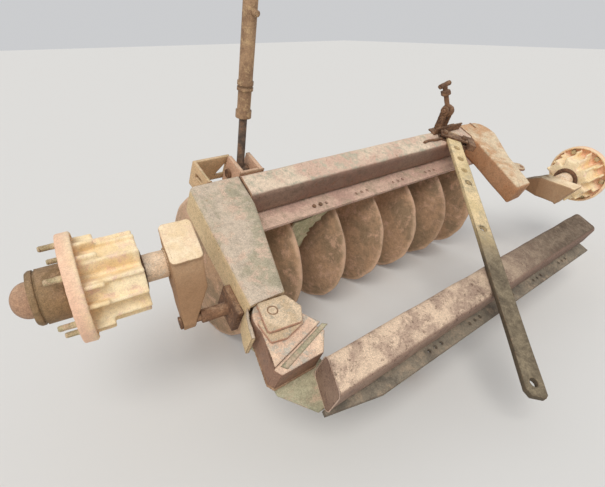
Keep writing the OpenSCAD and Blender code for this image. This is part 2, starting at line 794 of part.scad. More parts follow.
// Wheel arm, drawn upright with its pivot at the origin and the wheel side at -x:
// a box with a sloping capped top, drawn in to a narrow foot
module wheel_arm() {
    foot = 18;
    cap_len = arm_cap_run / cos(arm_cap_slope);
    difference() {
        union() {
            intersection() {
                translate([-arm_w / 2, 0, 0]) rotate([90, 0, 90]) linear_extrude(arm_w) polygon([
                    [arm_top_ahead, arm_top_rise],
                    [arm_back, arm_top_rise - arm_cap_fall],
                    [arm_back, -foot - 2], [foot, -foot - 2],
                    [arm_top_ahead, arm_top_rise - 184]
                ]);
                translate([0, 200, 0]) rotate([90, 0, 0]) linear_extrude(400) polygon([
                    [-arm_w / 2, 400], [arm_w / 2, 400], [arm_w / 2, arm_top_rise - 184],
                    [-arm_w / 2 + 37, -foot - 2], [-arm_w / 2, -foot - 2]
                ]);
            }
            along_x(-arm_w / 2, 0, 0) cylinder(r = pivot_r + 8, h = 42);
            translate([0, arm_back, arm_top_rise - arm_cap_fall]) rotate([arm_cap_slope, 0, 0])
                translate([0, 0, -1]) linear_extrude(11) polygon(round_outline(
                    [[-arm_w / 2 - 3, -6], [arm_w / 2 + 3, -6],
                        [arm_w / 2 + 3, cap_len + 4], [-arm_w / 2 - 3, cap_len + 4]],
                    [16, 16, 16, 16]
                ));
        }
        along_x(-arm_w, 0, 0) cylinder(r = pivot_r + run, h = 2 * arm_w);
    }
}

module left_wheel_arm() { color("burlywood") stance() at_left_arm() wheel_arm(); }
module right_wheel_arm() {
    color("burlywood") stance() at_right_arm() mirror([1, 0, 0]) wheel_arm();
}

// Stub axle: a tube from the arm's side, then the spindle inside the hub
module stub_axle() {
    spindle_len = casting_len + flange_t + barrel_len - 30;
    translate([0, 0, -hub_out + arm_w / 2 + seat]) cylinder(r = stub_r, h = stub_len - 6);
    translate([0, 0, -casting_len - flange_t - 10]) cylinder(r = spindle_r, h = spindle_len + 10);
}

module left_stub_axle() { color("burlywood") stance() at_left_hub() stub_axle(); }
module right_stub_axle() { color("burlywood") stance() at_right_hub() stub_axle(); }

// Hub casting with deep ribs inboard of the wheel flange
module hub() {
    rib_turn = 360 / stud_count;
    difference() {
        union() {
            translate([0, 0, -flange_t]) cylinder(r = flange_r, h = flange_t);
            translate([0, 0, -flange_t - rim_lip]) difference() {
                cylinder(r = flange_r, h = rim_lip + 1);
                translate([0, 0, -1]) cylinder(r = flange_r - rim_lip_t, h = rim_lip + 3);
            }
            translate([0, 0, -flange_t - casting_len]) cylinder(r = core_r, h = casting_len + 1);
            for (i = [0:stud_count - 1]) rotate([0, 0, i * rib_turn + rib_turn / 2])
                translate([0, 0, -flange_t - casting_len]) linear_extrude(casting_len + 1)
                    polygon([[60, -38], [rib_r - 6, -36], [rib_r, -28], [rib_r, 28],
                        [rib_r - 6, 36], [60, 38]]);
            for (i = [0:stud_count - 1]) rotate([0, 0, i * rib_turn + rib_turn / 2])
                translate([60, -32, -flange_t - casting_len * 0.42])
                    cube([rib_r + rib_step - 60, 64, casting_len * 0.42 + 1]);
        }
        translate([0, 0, -flange_t - casting_len - 1])
            cylinder(r = spindle_r + run, h = flange_t + casting_len + 2);
        for (i = [0:stud_count - 1]) rotate([0, 0, i * rib_turn])
            translate([stud_circle_r, 0, -flange_t - 1])
                cylinder(r = stud_r - 1 + seat, h = flange_t + 2);
    }
}

module hub_studs() {
    for (i = [0:stud_count - 1]) rotate([0, 0, i * 360 / stud_count])
        translate([stud_circle_r, 0, 0]) {
            translate([0, 0, -flange_t - seat - 1])
                cylinder(r = stud_r - 1, h = flange_t + seat + 2);
            translate([0, 0, seat]) cylinder(r = stud_r, h = stud_len - seat);
            translate([0, 0, -flange_t - seat - 14]) cylinder(r = stud_r + 7, h = 14, $fn = 6);
        }
}

// Outboard barrel with its clamp ring and domed grease cap
module hub_barrel() {
    difference() {
        translate([0, 0, seat]) rotate_extrude() polygon([
            [0, 0], [barrel_r, 0], [barrel_r, barrel_len - 12], [barrel_r - 5, barrel_len - 11],
            [barrel_r - 5, barrel_len - 6], [barrel_r - 1, barrel_len - 5],
            [barrel_r - 1, barrel_len + 8], [barrel_r - 6, barrel_len + 14],
            [grease_cap_r, barrel_len + 14],
            for (a = [0:15:90])
                [grease_cap_r * cos(a), cap_top - seat - dome_rise * (1 - sin(a))]
        ]);
        translate([0, 0, -1]) cylinder(r = spindle_r + 4, h = barrel_len - 20);
    }
}

module left_hub() { color("wheat") stance() at_left_hub() hub(); }
module left_hub_studs() { color("tan") stance() at_left_hub() hub_studs(); }
module left_hub_barrel() { color("olive") stance() at_left_hub() hub_barrel(); }
module right_hub() { color("wheat") stance() at_right_hub() hub(); }
module right_hub_studs() { color("tan") stance() at_right_hub() hub_studs(); }
module right_hub_barrel() { color("olive") stance() at_right_hub() hub_barrel(); }

module ram_rod() {
    eye_w = clevis_gap - 12;
    color("gray") stance() at_ram() {
        difference() {
            union() {
                along_x(-eye_w / 2, 0, 0) cylinder(r = ram_pin_r + 13, h = eye_w);
                translate([0, 0, 18]) cylinder(r = rod_r, h = rod_bare + 190);
            }
            along_x(-eye_w, 0, 0) cylinder(r = ram_pin_r + run, h = 2 * eye_w);
        }
        translate([0, 0, rod_bare + 190]) cylinder(r = ram_r - 6, h = 24);
    }
}

module ram_barrel() {
    color("peru") stance() at_ram() difference() {
        union() {
            translate([0, 0, rod_bare]) cylinder(r = ram_r + 4, h = 28);
            translate([0, 0, rod_bare + 20]) cylinder(r = ram_r - 1, h = 110);
            translate([0, 0, rod_bare + 106]) cylinder(r = ram_r + 4, h = 12);
            translate([0, 0, rod_bare + 126]) cylinder(r = ram_r + 4, h = 14);
            translate([0, 0, rod_bare + 130]) cylinder(r = ram_r, h = ram_len - 130);
            translate([0, 0, rod_bare + ram_len - 40]) rotate([90, 0, 0]) cylinder(r = 11, h = 46);
            along_x(-15, 0, rod_bare + ram_len + 26) cylinder(r = 28, h = 30);
            translate([-15, -22, rod_bare + ram_len - 4]) cube([30, 44, 20]);
        }
        translate([0, 0, rod_bare - 1]) cylinder(r = rod_r + run, h = 60);
        translate([0, 0, rod_bare + 40]) cylinder(r = ram_r - 5, h = ram_len - 60);
        along_x(-20, 0, rod_bare + ram_len + 26) cylinder(r = 12.5, h = 40);
    }
}

front_beam();
front_gang_plate();
left_side_beam();
right_side_beam();
hinge_ear();
hinge_pin();
hinge_cap_plates();
hitch_bracket();
ram_clevis();
ram_foot_pin();
gang_stands();
gang_bearings();
scraper();
angle_bar();
bar_clamp();
link_stand();
link_rod();
left_arm_pivot();
right_arm_pivot();
lift_lug();
gang_shaft();
gang_spools();
gang_end_nuts();
disc(0);  // disc_1
disc(1);  // disc_2
disc(2);  // disc_3
disc(3);  // disc_4
disc(4);  // disc_5
disc(5);  // disc_6
disc(6);  // disc_7
rear_beam();
rear_gang_plate();
rear_hinge_arm();
rear_hinge_plate();
rear_stands();
left_wheel_arm();
left_stub_axle();
left_hub();
left_hub_studs();
left_hub_barrel();
right_wheel_arm();
right_stub_axle();
right_hub();
right_hub_studs();
right_hub_barrel();
ram_rod();
ram_barrel();
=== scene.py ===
import json
import math

import bmesh
import bpy
from mathutils import Matrix, Vector, noise


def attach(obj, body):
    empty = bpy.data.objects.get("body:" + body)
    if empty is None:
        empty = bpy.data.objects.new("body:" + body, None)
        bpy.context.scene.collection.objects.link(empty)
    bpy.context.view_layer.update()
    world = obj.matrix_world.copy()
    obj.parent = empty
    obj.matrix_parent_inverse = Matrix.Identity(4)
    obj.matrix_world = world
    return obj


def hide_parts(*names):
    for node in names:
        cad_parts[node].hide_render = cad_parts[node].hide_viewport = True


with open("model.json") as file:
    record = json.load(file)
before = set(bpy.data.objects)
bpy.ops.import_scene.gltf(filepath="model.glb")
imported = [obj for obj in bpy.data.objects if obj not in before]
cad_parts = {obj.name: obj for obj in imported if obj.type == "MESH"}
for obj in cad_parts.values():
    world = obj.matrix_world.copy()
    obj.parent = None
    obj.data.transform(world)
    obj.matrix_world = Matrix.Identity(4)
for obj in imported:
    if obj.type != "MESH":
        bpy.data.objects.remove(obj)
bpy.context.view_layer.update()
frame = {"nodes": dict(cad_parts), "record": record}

# Camera, floor and light
# The machine stands on a plain pale floor under an even sky, and is seen from
# behind its left wheel hub, looking down along the frame.
cad = frame["nodes"]
scene = bpy.context.scene
EYE = Vector((-1.681, -1.209, 1.331))
HEADING = Vector((0.652, 0.758, 0.0)).normalized()
LOOK_DOWN = math.radians(25.0)
LENS_MM, SENSOR_MM = 28.09, 36.0

camera_data = bpy.data.cameras.new("camera")
camera_data.lens = LENS_MM
camera_data.sensor_width = SENSOR_MM
camera_data.clip_start, camera_data.clip_end = 0.02, 100.0
camera = bpy.data.objects.new("camera", camera_data)
scene.collection.objects.link(camera)
camera.location = EYE
camera.rotation_mode = "QUATERNION"
aim = HEADING * math.cos(LOOK_DOWN) - Vector((0, 0, math.sin(LOOK_DOWN)))
camera.rotation_quaternion = aim.to_track_quat("-Z", "Y")
scene.camera = camera
scene.view_settings.view_transform = "Standard"

sky = bpy.data.worlds.new("even sky")
scene.world = sky
sky.use_nodes = True
sky.node_tree.nodes["Background"].inputs["Color"].default_value = (0.97, 0.98, 1.0, 1.0)
sky.node_tree.nodes["Background"].inputs["Strength"].default_value = 0.62

sun_data = bpy.data.lights.new("high soft sun", "SUN")
sun_data.energy = 1.75
sun_data.angle = math.radians(35)
sun_data.color = (1.0, 0.98, 0.94)
sun = bpy.data.objects.new("high soft sun", sun_data)
scene.collection.objects.link(sun)
sun.rotation_mode = "QUATERNION"
sun.rotation_quaternion = Vector((0.66, 0.60, -1.0)).to_track_quat("-Z", "Y")

floor_mesh = bpy.data.meshes.new("floor")
floor_mesh.from_pydata([(-30, -30, 0), (30, -30, 0), (30, 30, 0), (-30, 30, 0)], [], [(0, 1, 2, 3)])
floor = bpy.data.objects.new("floor", floor_mesh)
scene.collection.objects.link(floor)
floor_paint = bpy.data.materials.new("pale floor")
floor_paint.use_nodes = True
floor_paint.node_tree.nodes["Principled BSDF"].inputs["Base Color"].default_value = (0.72, 0.71, 0.69, 1)
floor_paint.node_tree.nodes["Principled BSDF"].inputs["Roughness"].default_value = 0.9
floor_mesh.materials.append(floor_paint)

# Front beam
# Rolled box section, 126 by 120 mm with round edges, once painted, now faded in
# patches of pink, cream and green grey with rust coming through.
TILT = math.radians(27.536)
PLAN = (
    Matrix.Translation((-0.3319, 0.49718, 0.33))
    @ Matrix.Rotation(TILT, 4, "X")
    @ Matrix.Translation((0, -0.105, 0.36))
    @ Matrix.Scale(0.001, 4)
)


def seen(red, green, blue):
    """A colour as the eye reads it, 0 to 255, as the renderer wants it."""
    return tuple(((c / 255 + 0.055) / 1.055) ** 2.4 for c in (red, green, blue)) + (1.0,)


def wired(tree, kind, inputs=None, **settings):
    """Adds a node, sets it up, and links or fills its inputs."""
    made = tree.nodes.new(kind)
    for key, value in settings.items():
        setattr(made, key, value)
    for key, value in (inputs or {}).items():
        if isinstance(value, bpy.types.NodeSocket):
            tree.links.new(value, made.inputs[key])
        else:
            made.inputs[key].default_value = value
    return made


def speckle(tree, at, scale, detail=6.0, rough=0.6, twist=0.0):
    inputs = {"Vector": at, "Scale": scale, "Detail": detail, "Roughness": rough, "Distortion": twist}
    return wired(tree, "ShaderNodeTexNoise", inputs).outputs[0]


def between(tree, value, low, high, to_low=0.0, to_high=1.0):
    inputs = {"Value": value, "From Min": low, "From Max": high, "To Min": to_low, "To Max": to_high}
    return wired(tree, "ShaderNodeMapRange", inputs, interpolation_type="SMOOTHSTEP").outputs[0]


def sums(tree, how, a, b):
    return wired(tree, "ShaderNodeMath", {0: a, 1: b}, operation=how).outputs[0]


def blended(tree, share, a, b, how="MIX"):
    mix = wired(tree, "ShaderNodeMix", {0: share, 6: a, 7: b}, data_type="RGBA", blend_type=how)
    return mix.outputs[2]


def weathered(name, coats, rust, spread=7.0, rust_share=0.4, edge_wear=0.5, dust=0.25,
              dust_colour=(196, 172, 146), relief=0.5, rough=0.72, shift=0.0, side=None, far=None, grit=1.0):
    """Old paint on steel: faded coats in patches, rust in chips and along edges, dust on top.

    side is the colour that upright faces go to, painted light and shade by how a face is turned:
    painted shade where it is darker than the coats, painted light where it is lighter; far is
    (colour, from point, to point), a colour that the coats turn into on the way from one point to
    the other, painted shade where it runs dark; grit is how strong the fine speckle is.
    """
    material = bpy.data.materials.new(name)
    material.use_nodes = True
    tree = material.node_tree
    shader = tree.nodes["Principled BSDF"]
    place = wired(tree, "ShaderNodeTexCoord")
    at = wired(tree, "ShaderNodeMapping", {0: place.outputs["Object"], 1: (shift, -shift, 0.6 * shift)})
    at = at.outputs[0]
    cloud = speckle(tree, at, spread, 6.0, 0.66, 0.4)
    patch = speckle(tree, at, spread * 3.1, 9.0, 0.74, 0.3)
    chip = speckle(tree, at, spread * 8.5, 8.0, 0.78, 0.2)
    grain = speckle(tree, at, 260.0, 3.0, 0.7)
    pits = wired(tree, "ShaderNodeTexVoronoi", {"Vector": at, "Scale": 95.0, "Randomness": 1.0})
    rounded = wired(tree, "ShaderNodeBevel", {"Radius": 0.007}, samples=4)
    facing = wired(tree, "ShaderNodeNewGeometry")
    turn = wired(tree, "ShaderNodeVectorMath", {0: rounded.outputs[0], 1: facing.outputs["Normal"]},
                 operation="DOT_PRODUCT")
    edge = between(tree, turn.outputs["Value"], 0.995, 0.86)
    up = wired(tree, "ShaderNodeSeparateXYZ", {0: place.outputs["Normal"]}).outputs["Z"]
    colour = blended(tree, between(tree, cloud, 0.43, 0.57), seen(*coats[0]), seen(*coats[1]))
    colour = blended(tree, between(tree, patch, 0.50, 0.62), colour, seen(*coats[2]))
    if far:
        tone, start, end = far
        along = Vector(end) - Vector(start)
        way = wired(tree, "ShaderNodeVectorMath", {0: place.outputs["Object"], 1: Vector(start)},
                    operation="SUBTRACT")
        way = wired(tree, "ShaderNodeVectorMath", {0: way.outputs[0], 1: along / along.length_squared},
                    operation="DOT_PRODUCT").outputs["Value"]
        way = sums(tree, "ADD", way, sums(tree, "MULTIPLY", patch, 0.35))
        colour = blended(tree, between(tree, way, 0.18, 1.18), colour, seen(*tone))
    if side:
        # Upright faces turn to the side colour: painted light and shade by how a face is turned.
        upright_shading = between(tree, sums(tree, "ADD", up, sums(tree, "MULTIPLY", patch, 0.5)), 0.95, 0.45)
        colour = blended(tree, sums(tree, "MULTIPLY", upright_shading, 0.85), colour, seen(*side))
    start = 0.80 - 0.42 * rust_share
    worn = sums(tree, "ADD", chip, sums(tree, "MULTIPLY", edge, 0.24 * edge_wear))
    worn = sums(tree, "ADD", worn, sums(tree, "MULTIPLY", cloud, 0.24))
    bare = between(tree, worn, start + 0.04, start + 0.20)
    rust_tone = blended(tree, between(tree, patch, 0.35, 0.65), seen(*rust),
                        seen(rust[0] * 0.70, rust[1] * 0.66, rust[2] * 0.66))
    colour = blended(tree, bare, colour, rust_tone)
    settled = sums(tree, "MULTIPLY", between(tree, up, 0.25, 0.95), between(tree, patch, 0.34, 0.66))
    colour = blended(tree, sums(tree, "MULTIPLY", settled, dust), colour, seen(*dust_colour))
    tone = between(tree, sums(tree, "ADD", sums(tree, "MULTIPLY", grain, 0.5),
                              sums(tree, "MULTIPLY", chip, 0.5)), 0.34, 0.66,
                   1 - 0.38 * grit, 1 + 0.20 * grit)
    shade = wired(tree, "ShaderNodeCombineXYZ", {0: tone, 1: tone, 2: tone}).outputs[0]
    colour = blended(tree, 1.0, colour, shade, "MULTIPLY")
    height = sums(tree, "ADD", sums(tree, "MULTIPLY", chip, 0.8), sums(tree, "MULTIPLY", grain, 0.3))
    height = sums(tree, "SUBTRACT", height, sums(tree, "MULTIPLY", bare, 0.35))
    height = sums(tree, "ADD", height, between(tree, pits.outputs["Distance"], 0.0, 0.35, 0.0, 0.22))
    bump = wired(tree, "ShaderNodeBump", {"Strength": relief, "Distance": 0.0024, "Height": height,
                                          "Normal": rounded.outputs[0]})
    tree.links.new(colour, shader.inputs["Base Color"])
    tree.links.new(between(tree, bare, 0.0, 1.0, rough, min(rough + 0.2, 0.95)), shader.inputs["Roughness"])
    tree.links.new(bump.outputs[0], shader.inputs["Normal"])
    shader.inputs["Specular IOR Level"].default_value = 0.3
    return material


def rounded_outline(points, radii, steps=5):
    """The outline with each corner turned into an arc of its own radius."""
    made = []
    for i, (corner, radius) in enumerate(zip(points, radii)):
        here = Vector(corner)
        a = (Vector(points[i - 1]) - here).normalized()
        b = (Vector(points[(i + 1) % len(points)]) - here).normalized()
        half = a.angle(b) / 2
        middle = here + (a + b).normalized() * radius / math.sin(half)
        first = here + a * radius / math.tan(half) - middle
        last = here + b * radius / math.tan(half) - middle
        begin = math.atan2(first.y, first.x)
        sweep = math.remainder(math.atan2(last.y, last.x) - begin, math.tau)
        for k in range(steps + 1):
            turn = begin + sweep * k / steps
            made.append(middle + radius * Vector((math.cos(turn), math.sin(turn))))
    return made


def drawn_in(outline, depth):
    """The outline moved inwards by depth. It runs anticlockwise."""
    made = []
    for i, here in enumerate(outline):
        a = (here - outline[i - 1]).normalized()
        b = (outline[(i + 1) % len(outline)] - here).normalized()
        left_a, left_b = Vector((-a.y, a.x)), Vector((-b.y, b.x))
        made.append(here + (left_a + left_b) * depth / max(0.35, 1 + left_a.dot(left_b)))
    return made


def anticlockwise(outline):
    area = sum(a.x * b.y - b.x * a.y for a, b in zip(outline, outline[1:] + outline[:1]))
    return outline if area > 0 else outline[::-1]


def slab(outline, low, high, edge=2.0, steps=3, bm=None):
    """A plate or block on an outline, its upper and lower edges rounded."""
    bm = bm or bmesh.new()
    outline = anticlockwise([Vector(p) for p in outline])
    rings = []
    for side in (0, 1):
        for k in range(steps + 1):
            turn = math.pi / 2 * (k if side == 0 else steps - k) / steps
            depth = edge * (1 - math.sin(turn))
            rise = edge * (1 - math.cos(turn))
            z = low + rise if side == 0 else high - rise
            rings.append([bm.verts.new((p.x, p.y, z)) for p in drawn_in(outline, depth)])
    for a, b in zip(rings, rings[1:]):
        for i in range(len(a)):
            j = (i + 1) % len(a)
            bm.faces.new((a[i], a[j], b[j], b[i]))
    bm.faces.new(rings[0][::-1])
    bm.faces.new(rings[-1])
    return bm


def knocked(bm, step, depth, size, seed=0.0):
    """Cuts the faces into a grid and pushes it in and out a little, as years of knocks do."""
    bm.verts.ensure_lookup_table()
    for axis in range(3):
        low = min(v.co[axis] for v in bm.verts)
        high = max(v.co[axis] for v in bm.verts)
        count = int((high - low) / step)
        for k in range(1, count):
            at, normal = Vector(), Vector()
            at[axis], normal[axis] = low + (high - low) * k / count, 1.0
            everything = bm.verts[:] + bm.edges[:] + bm.faces[:]
            bmesh.ops.bisect_plane(bm, geom=everything, plane_co=at, plane_no=normal, dist=0.01)
    bm.normal_update()
    drift = Vector((seed, 0.7 * seed, -0.4 * seed))
    for v in bm.verts:
        v.co += v.normal * depth * noise.noise(v.co / size + drift)
    return bm


def piece(name, bm, material, body, finish, *stands_for, place=PLAN, crease=38.0):
    """Makes a finished piece of a mesh drawn in the plan's millimetres, riding on its body."""
    bmesh.ops.recalc_face_normals(bm, faces=bm.faces)
    bmesh.ops.transform(bm, matrix=place, verts=bm.verts)
    if place.determinant() < 0:
        bmesh.ops.reverse_faces(bm, faces=bm.faces)
    mesh = bpy.data.meshes.new(name)
    bm.to_mesh(mesh)
    bm.free()
    for face in mesh.polygons:
        face.use_smooth = True
    mesh.set_sharp_from_angle(angle=math.radians(crease))
    mesh.materials.append(material)
    made = bpy.data.objects.new(name, mesh)
    scene.collection.objects.link(made)
    if stands_for:
        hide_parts(*stands_for)
    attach(made, body)
    return made


BEAM_W, BEAM_H, BEAM_EDGE = 126, 120, 22
FRONT_Y, REAR_Y = 108, -694
ALONG_X = Matrix(((0, 0, 1, 0), (1, 0, 0, 0), (0, 1, 0, 0), (0, 0, 0, 1)))


def box_beam(x_from, x_to, y_mid):
    """Rolled box section along x, its underside at z 0."""
    half = BEAM_W / 2
    corners = [(y_mid - half, 0), (y_mid + half, 0), (y_mid + half, BEAM_H), (y_mid - half, BEAM_H)]
    bm = slab(rounded_outline(corners, [BEAM_EDGE] * 4, 7), x_from, x_to, 0.6, 1)
    bmesh.ops.transform(bm, matrix=ALONG_X, verts=bm.verts)
    return bm


def cut_off(bm, at, normal):
    """Takes away what lies on the far side of a plane and closes the cut."""
    everything = bm.verts[:] + bm.edges[:] + bm.faces[:]
    cut = bmesh.ops.bisect_plane(bm, geom=everything, plane_co=at, plane_no=normal, clear_outer=True)
    edges = [e for e in cut["geom_cut"] if isinstance(e, bmesh.types.BMEdge)]
    bmesh.ops.contextual_create(bm, geom=edges)
    return bm


# Upright faces of the beam go dark brown: painted shade.
beam_paint = weathered(
    "faded pink paint", [(232, 210, 186), (218, 184, 164), (174, 172, 152)], (138, 96, 68),
    spread=6.0, rust_share=0.42, edge_wear=0.8, dust=0.35, dust_colour=(232, 212, 186), relief=0.8,
    side=(124, 92, 76))
beam = box_beam(-398, 1187.7, FRONT_Y)
cut_off(beam, Vector((-354, 171, 0)), Vector((-192, 23, 0)))
knocked(beam, 42, 2.4, 120, 3.0)
piece("front_beam_skin", beam, beam_paint, "front_frame", "beam_paint", "front_beam")

# Gang plates
# Twelve millimetre plates under both beams. Each shows a narrow strip behind its
# beam with groups of three bolt holes, where the scrapers were fixed.


def dressed(node, edge=1.2, steps=2, flat=1.0, crease=32.0, place=PLAN):
    """A copy of a CAD node in a place's millimetres, facets joined and corners eased."""
    bm = bmesh.new()
    bm.from_mesh(cad[node].data)
    bmesh.ops.transform(bm, matrix=place.inverted(), verts=bm.verts)
    bmesh.ops.remove_doubles(bm, verts=bm.verts, dist=0.01)
    bmesh.ops.dissolve_limit(bm, angle_limit=math.radians(flat), verts=bm.verts, edges=bm.edges)
    sharp = [e for e in bm.edges if len(e.link_faces) == 2 and e.calc_face_angle(0) > math.radians(crease)]
    bmesh.ops.bevel(bm, geom=sharp, offset=edge, segments=steps, profile=0.6, affect="EDGES",
                    clamp_overlap=True)
    return bm


def held(bm):
    """The mesh on an object of its own, for modifiers to work on."""
    mesh = bpy.data.meshes.new("held")
    bm.to_mesh(mesh)
    bm.free()
    holder = bpy.data.objects.new("held", mesh)
    scene.collection.objects.link(holder)
    return holder


def taken(holder):
    """What the modifiers made of it, as a plain mesh to edit. The object goes."""
    graph = bpy.context.evaluated_depsgraph_get()
    mesh = bpy.data.meshes.new_from_object(holder.evaluated_get(graph))
    holder.modifiers.clear()
    bpy.data.objects.remove(holder)
    bm = bmesh.new()
    bm.from_mesh(mesh)
    bpy.data.meshes.remove(mesh)
    return bm


def cast(bm, voxel, passes=4, uneven=0.5, size=16.0):
    """Melts solids that run into each other into one rough body with soft fillets."""
    bmesh.ops.recalc_face_normals(bm, faces=bm.faces)
    holder = held(bm)
    melt = holder.modifiers.new("melt", "REMESH")
    melt.mode, melt.voxel_size = "VOXEL", voxel
    ease = holder.modifiers.new("ease", "SMOOTH")
    ease.factor, ease.iterations = 0.5, passes
    made = taken(holder)
    made.normal_update()
    for v in made.verts:
        v.co += v.normal * uneven * noise.noise(v.co / size)
    return made


def joined(*parts):
    """Several meshes as one."""
    made = bmesh.new()
    for bm in parts:
        part = bpy.data.meshes.new("part")
        bm.to_mesh(part)
        bm.free()
        made.from_mesh(part)
        bpy.data.meshes.remove(part)
    return made


def started(title, sockets):
    """A new node tree with the named inputs, and its group input node."""
    tree = bpy.data.node_groups.new(title, "GeometryNodeTree")
    tree.interface.new_socket("Geometry", in_out="INPUT", socket_type="NodeSocketGeometry")
    for name, kind in sockets.items():
        tree.interface.new_socket(name, in_out="INPUT", socket_type="NodeSocket" + kind)
    tree.interface.new_socket("Geometry", in_out="OUTPUT", socket_type="NodeSocketGeometry")
    return tree, wired(tree, "NodeGroupInput").outputs


def ended(tree, geometry, finish):
    real = wired(tree, "GeometryNodeRealizeInstances", {0: geometry})
    painted = wired(tree, "GeometryNodeSetMaterial", {"Geometry": real.outputs[0], "Material": finish})
    wired(tree, "NodeGroupOutput", {0: painted.outputs[0]})
    return tree


def grown(bm, tree, **values):
    """The mesh after a node tree, its inputs given by name with _ for a space."""
    holder = held(bm)
    modifier = holder.modifiers.new("grown", "NODES")
    modifier.node_group = tree
    for item in tree.interface.items_tree:
        key = item.name.replace(" ", "_")
        if item.in_out == "INPUT" and key in values:
            modifier[item.identifier] = values[key]
    holder.update_tag()
    return taken(holder)


def bead_tree():
    """Overlapping drops of weld metal along the edges of the mesh that comes in."""
    tree, given = started("weld bead", {"Step": "Float", "Size": "Float", "Seed": "Int",
                                        "Finish": "Material"})
    path = wired(tree, "GeometryNodeMeshToCurve", {0: given["Geometry"]})
    spaced = wired(tree, "GeometryNodeResampleCurve", {"Curve": path.outputs[0], "Length": given["Step"]},
                   mode="LENGTH")
    drop = wired(tree, "GeometryNodeMeshIcoSphere", {"Radius": 1.0, "Subdivisions": 2})
    along = wired(tree, "FunctionNodeAlignRotationToVector",
                  {"Vector": wired(tree, "GeometryNodeInputTangent").outputs[0]})
    vary = wired(tree, "FunctionNodeRandomValue", {0: (0.55, 0.85, 0.60), 1: (0.85, 1.20, 0.95),
                                                   "Seed": given["Seed"]}, data_type="FLOAT_VECTOR")
    size = wired(tree, "ShaderNodeVectorMath", {0: vary.outputs[0], "Scale": given["Size"]},
                 operation="SCALE")
    laid = wired(tree, "GeometryNodeInstanceOnPoints",
                 {"Points": spaced.outputs[0], "Instance": drop.outputs[0],
                  "Rotation": along.outputs[0], "Scale": size.outputs[0]})
    return ended(tree, laid.outputs[0], given["Finish"])


def row_tree():
    """Copies of an object in a straight row."""
    tree, given = started("row of copies", {"Copy": "Object", "Count": "Int", "Start": "Vector",
                                            "Step": "Vector", "Finish": "Material"})
    row = wired(tree, "GeometryNodeMeshLine", {"Count": given["Count"], "Start Location": given["Start"],
                                               "Offset": given["Step"]})
    copy = wired(tree, "GeometryNodeObjectInfo", {"Object": given["Copy"]})
    laid = wired(tree, "GeometryNodeInstanceOnPoints", {"Points": row.outputs[0],
                                                        "Instance": copy.outputs["Geometry"]})
    return ended(tree, laid.outputs[0], given["Finish"])


def ring_tree():
    """Copies of an object turned about Z in equal steps, each drawn at its own radius."""
    tree, given = started("ring of copies", {"Copy": "Object", "Count": "Int", "First turn": "Float",
                                             "Finish": "Material"})
    row = wired(tree, "GeometryNodeMeshLine", {"Count": given["Count"], "Offset": (0.0, 0.0, 0.0)})
    copy = wired(tree, "GeometryNodeObjectInfo", {"Object": given["Copy"]})
    step = sums(tree, "DIVIDE", math.tau, given["Count"])
    turn = sums(tree, "ADD", sums(tree, "MULTIPLY", wired(tree, "GeometryNodeInputIndex").outputs[0], step),
                given["First turn"])
    facing = wired(tree, "ShaderNodeCombineXYZ", {"Z": turn})
    laid = wired(tree, "GeometryNodeInstanceOnPoints",
                 {"Points": row.outputs[0], "Instance": copy.outputs["Geometry"],
                  "Rotation": facing.outputs[0]})
    return ended(tree, laid.outputs[0], given["Finish"])


def copied(tree, bm, finish, **values):
    """Copies of one mesh, laid by a row or ring tree."""
    original = held(bm)
    original.hide_render = True
    made = grown(bmesh.new(), tree, Copy=original, Finish=finish, **values)
    bpy.data.objects.remove(original)
    return made


def welds(paths, size, seed, finish):
    """Weld beads along paths, each a list of points."""
    bm = bmesh.new()
    for path in paths:
        points = [bm.verts.new(p) for p in path]
        for a, b in zip(points, points[1:]):
            bm.edges.new((a, b))
    return grown(bm, BEAD, Step=size * 0.75, Size=size, Seed=seed, Finish=finish)


BEAD, ROW, RING = bead_tree(), row_tree(), ring_tree()

front_plate_paint = weathered(
    "dusty pink plate", [(214, 182, 162), (200, 164, 148), (180, 156, 136)], (128, 88, 68),
    spread=5.0, rust_share=0.32, edge_wear=0.9, dust=0.25, relief=0.6, shift=1.7)
rear_plate_paint = weathered(
    "dark grey plate", [(138, 128, 112), (112, 104, 92), (156, 140, 120)], (100, 76, 60),
    spread=5.5, rust_share=0.38, edge_wear=0.9, dust=0.25, relief=0.6, shift=4.1)
piece("front_gang_plate_skin", dressed("front_gang_plate"), front_plate_paint, "front_frame",
      "plate_paint", "front_gang_plate")
piece("rear_gang_plate_skin", dressed("rear_gang_plate"), rear_plate_paint, "rear_frame",
      "plate_paint", "rear_gang_plate")

# Side beams
# Welded boxes of bent plate that close the frame at both ends. The left one
# tapers back to the hinge, the right one turns the corner in a wide curve.
# Upright faces of the left beam turn a lighter warm tan: painted light.
side_paint = weathered(
    "mottled grey paint", [(206, 188, 168), (174, 164, 140), (214, 180, 158)], (146, 108, 78),
    spread=5.2, rust_share=0.38, edge_wear=1.1, dust=0.35, dust_colour=(222, 206, 182), relief=0.7,
    shift=0.9, side=(224, 196, 150))
# Upright faces of the right beam turn darker brown: painted shade.
corner_paint = weathered(
    "rusty corner paint", [(232, 210, 178), (206, 160, 120), (208, 186, 154)], (150, 90, 54),
    spread=5.0, rust_share=0.42, edge_wear=0.8, dust=0.4, dust_colour=(228, 208, 176), relief=0.7,
    shift=2.6, side=(192, 138, 98))
PIN = Vector((-590, -440))
left_corners = [(-580, 171), (-355, 171), (-378, 12), (-514, -380), (-660, -430)]
left_outline = rounded_outline(left_corners, [30, 2, 20, 8, 8])
SOCKET_R, SOCKET_TOP, BEAM_END = 86, 106, -379


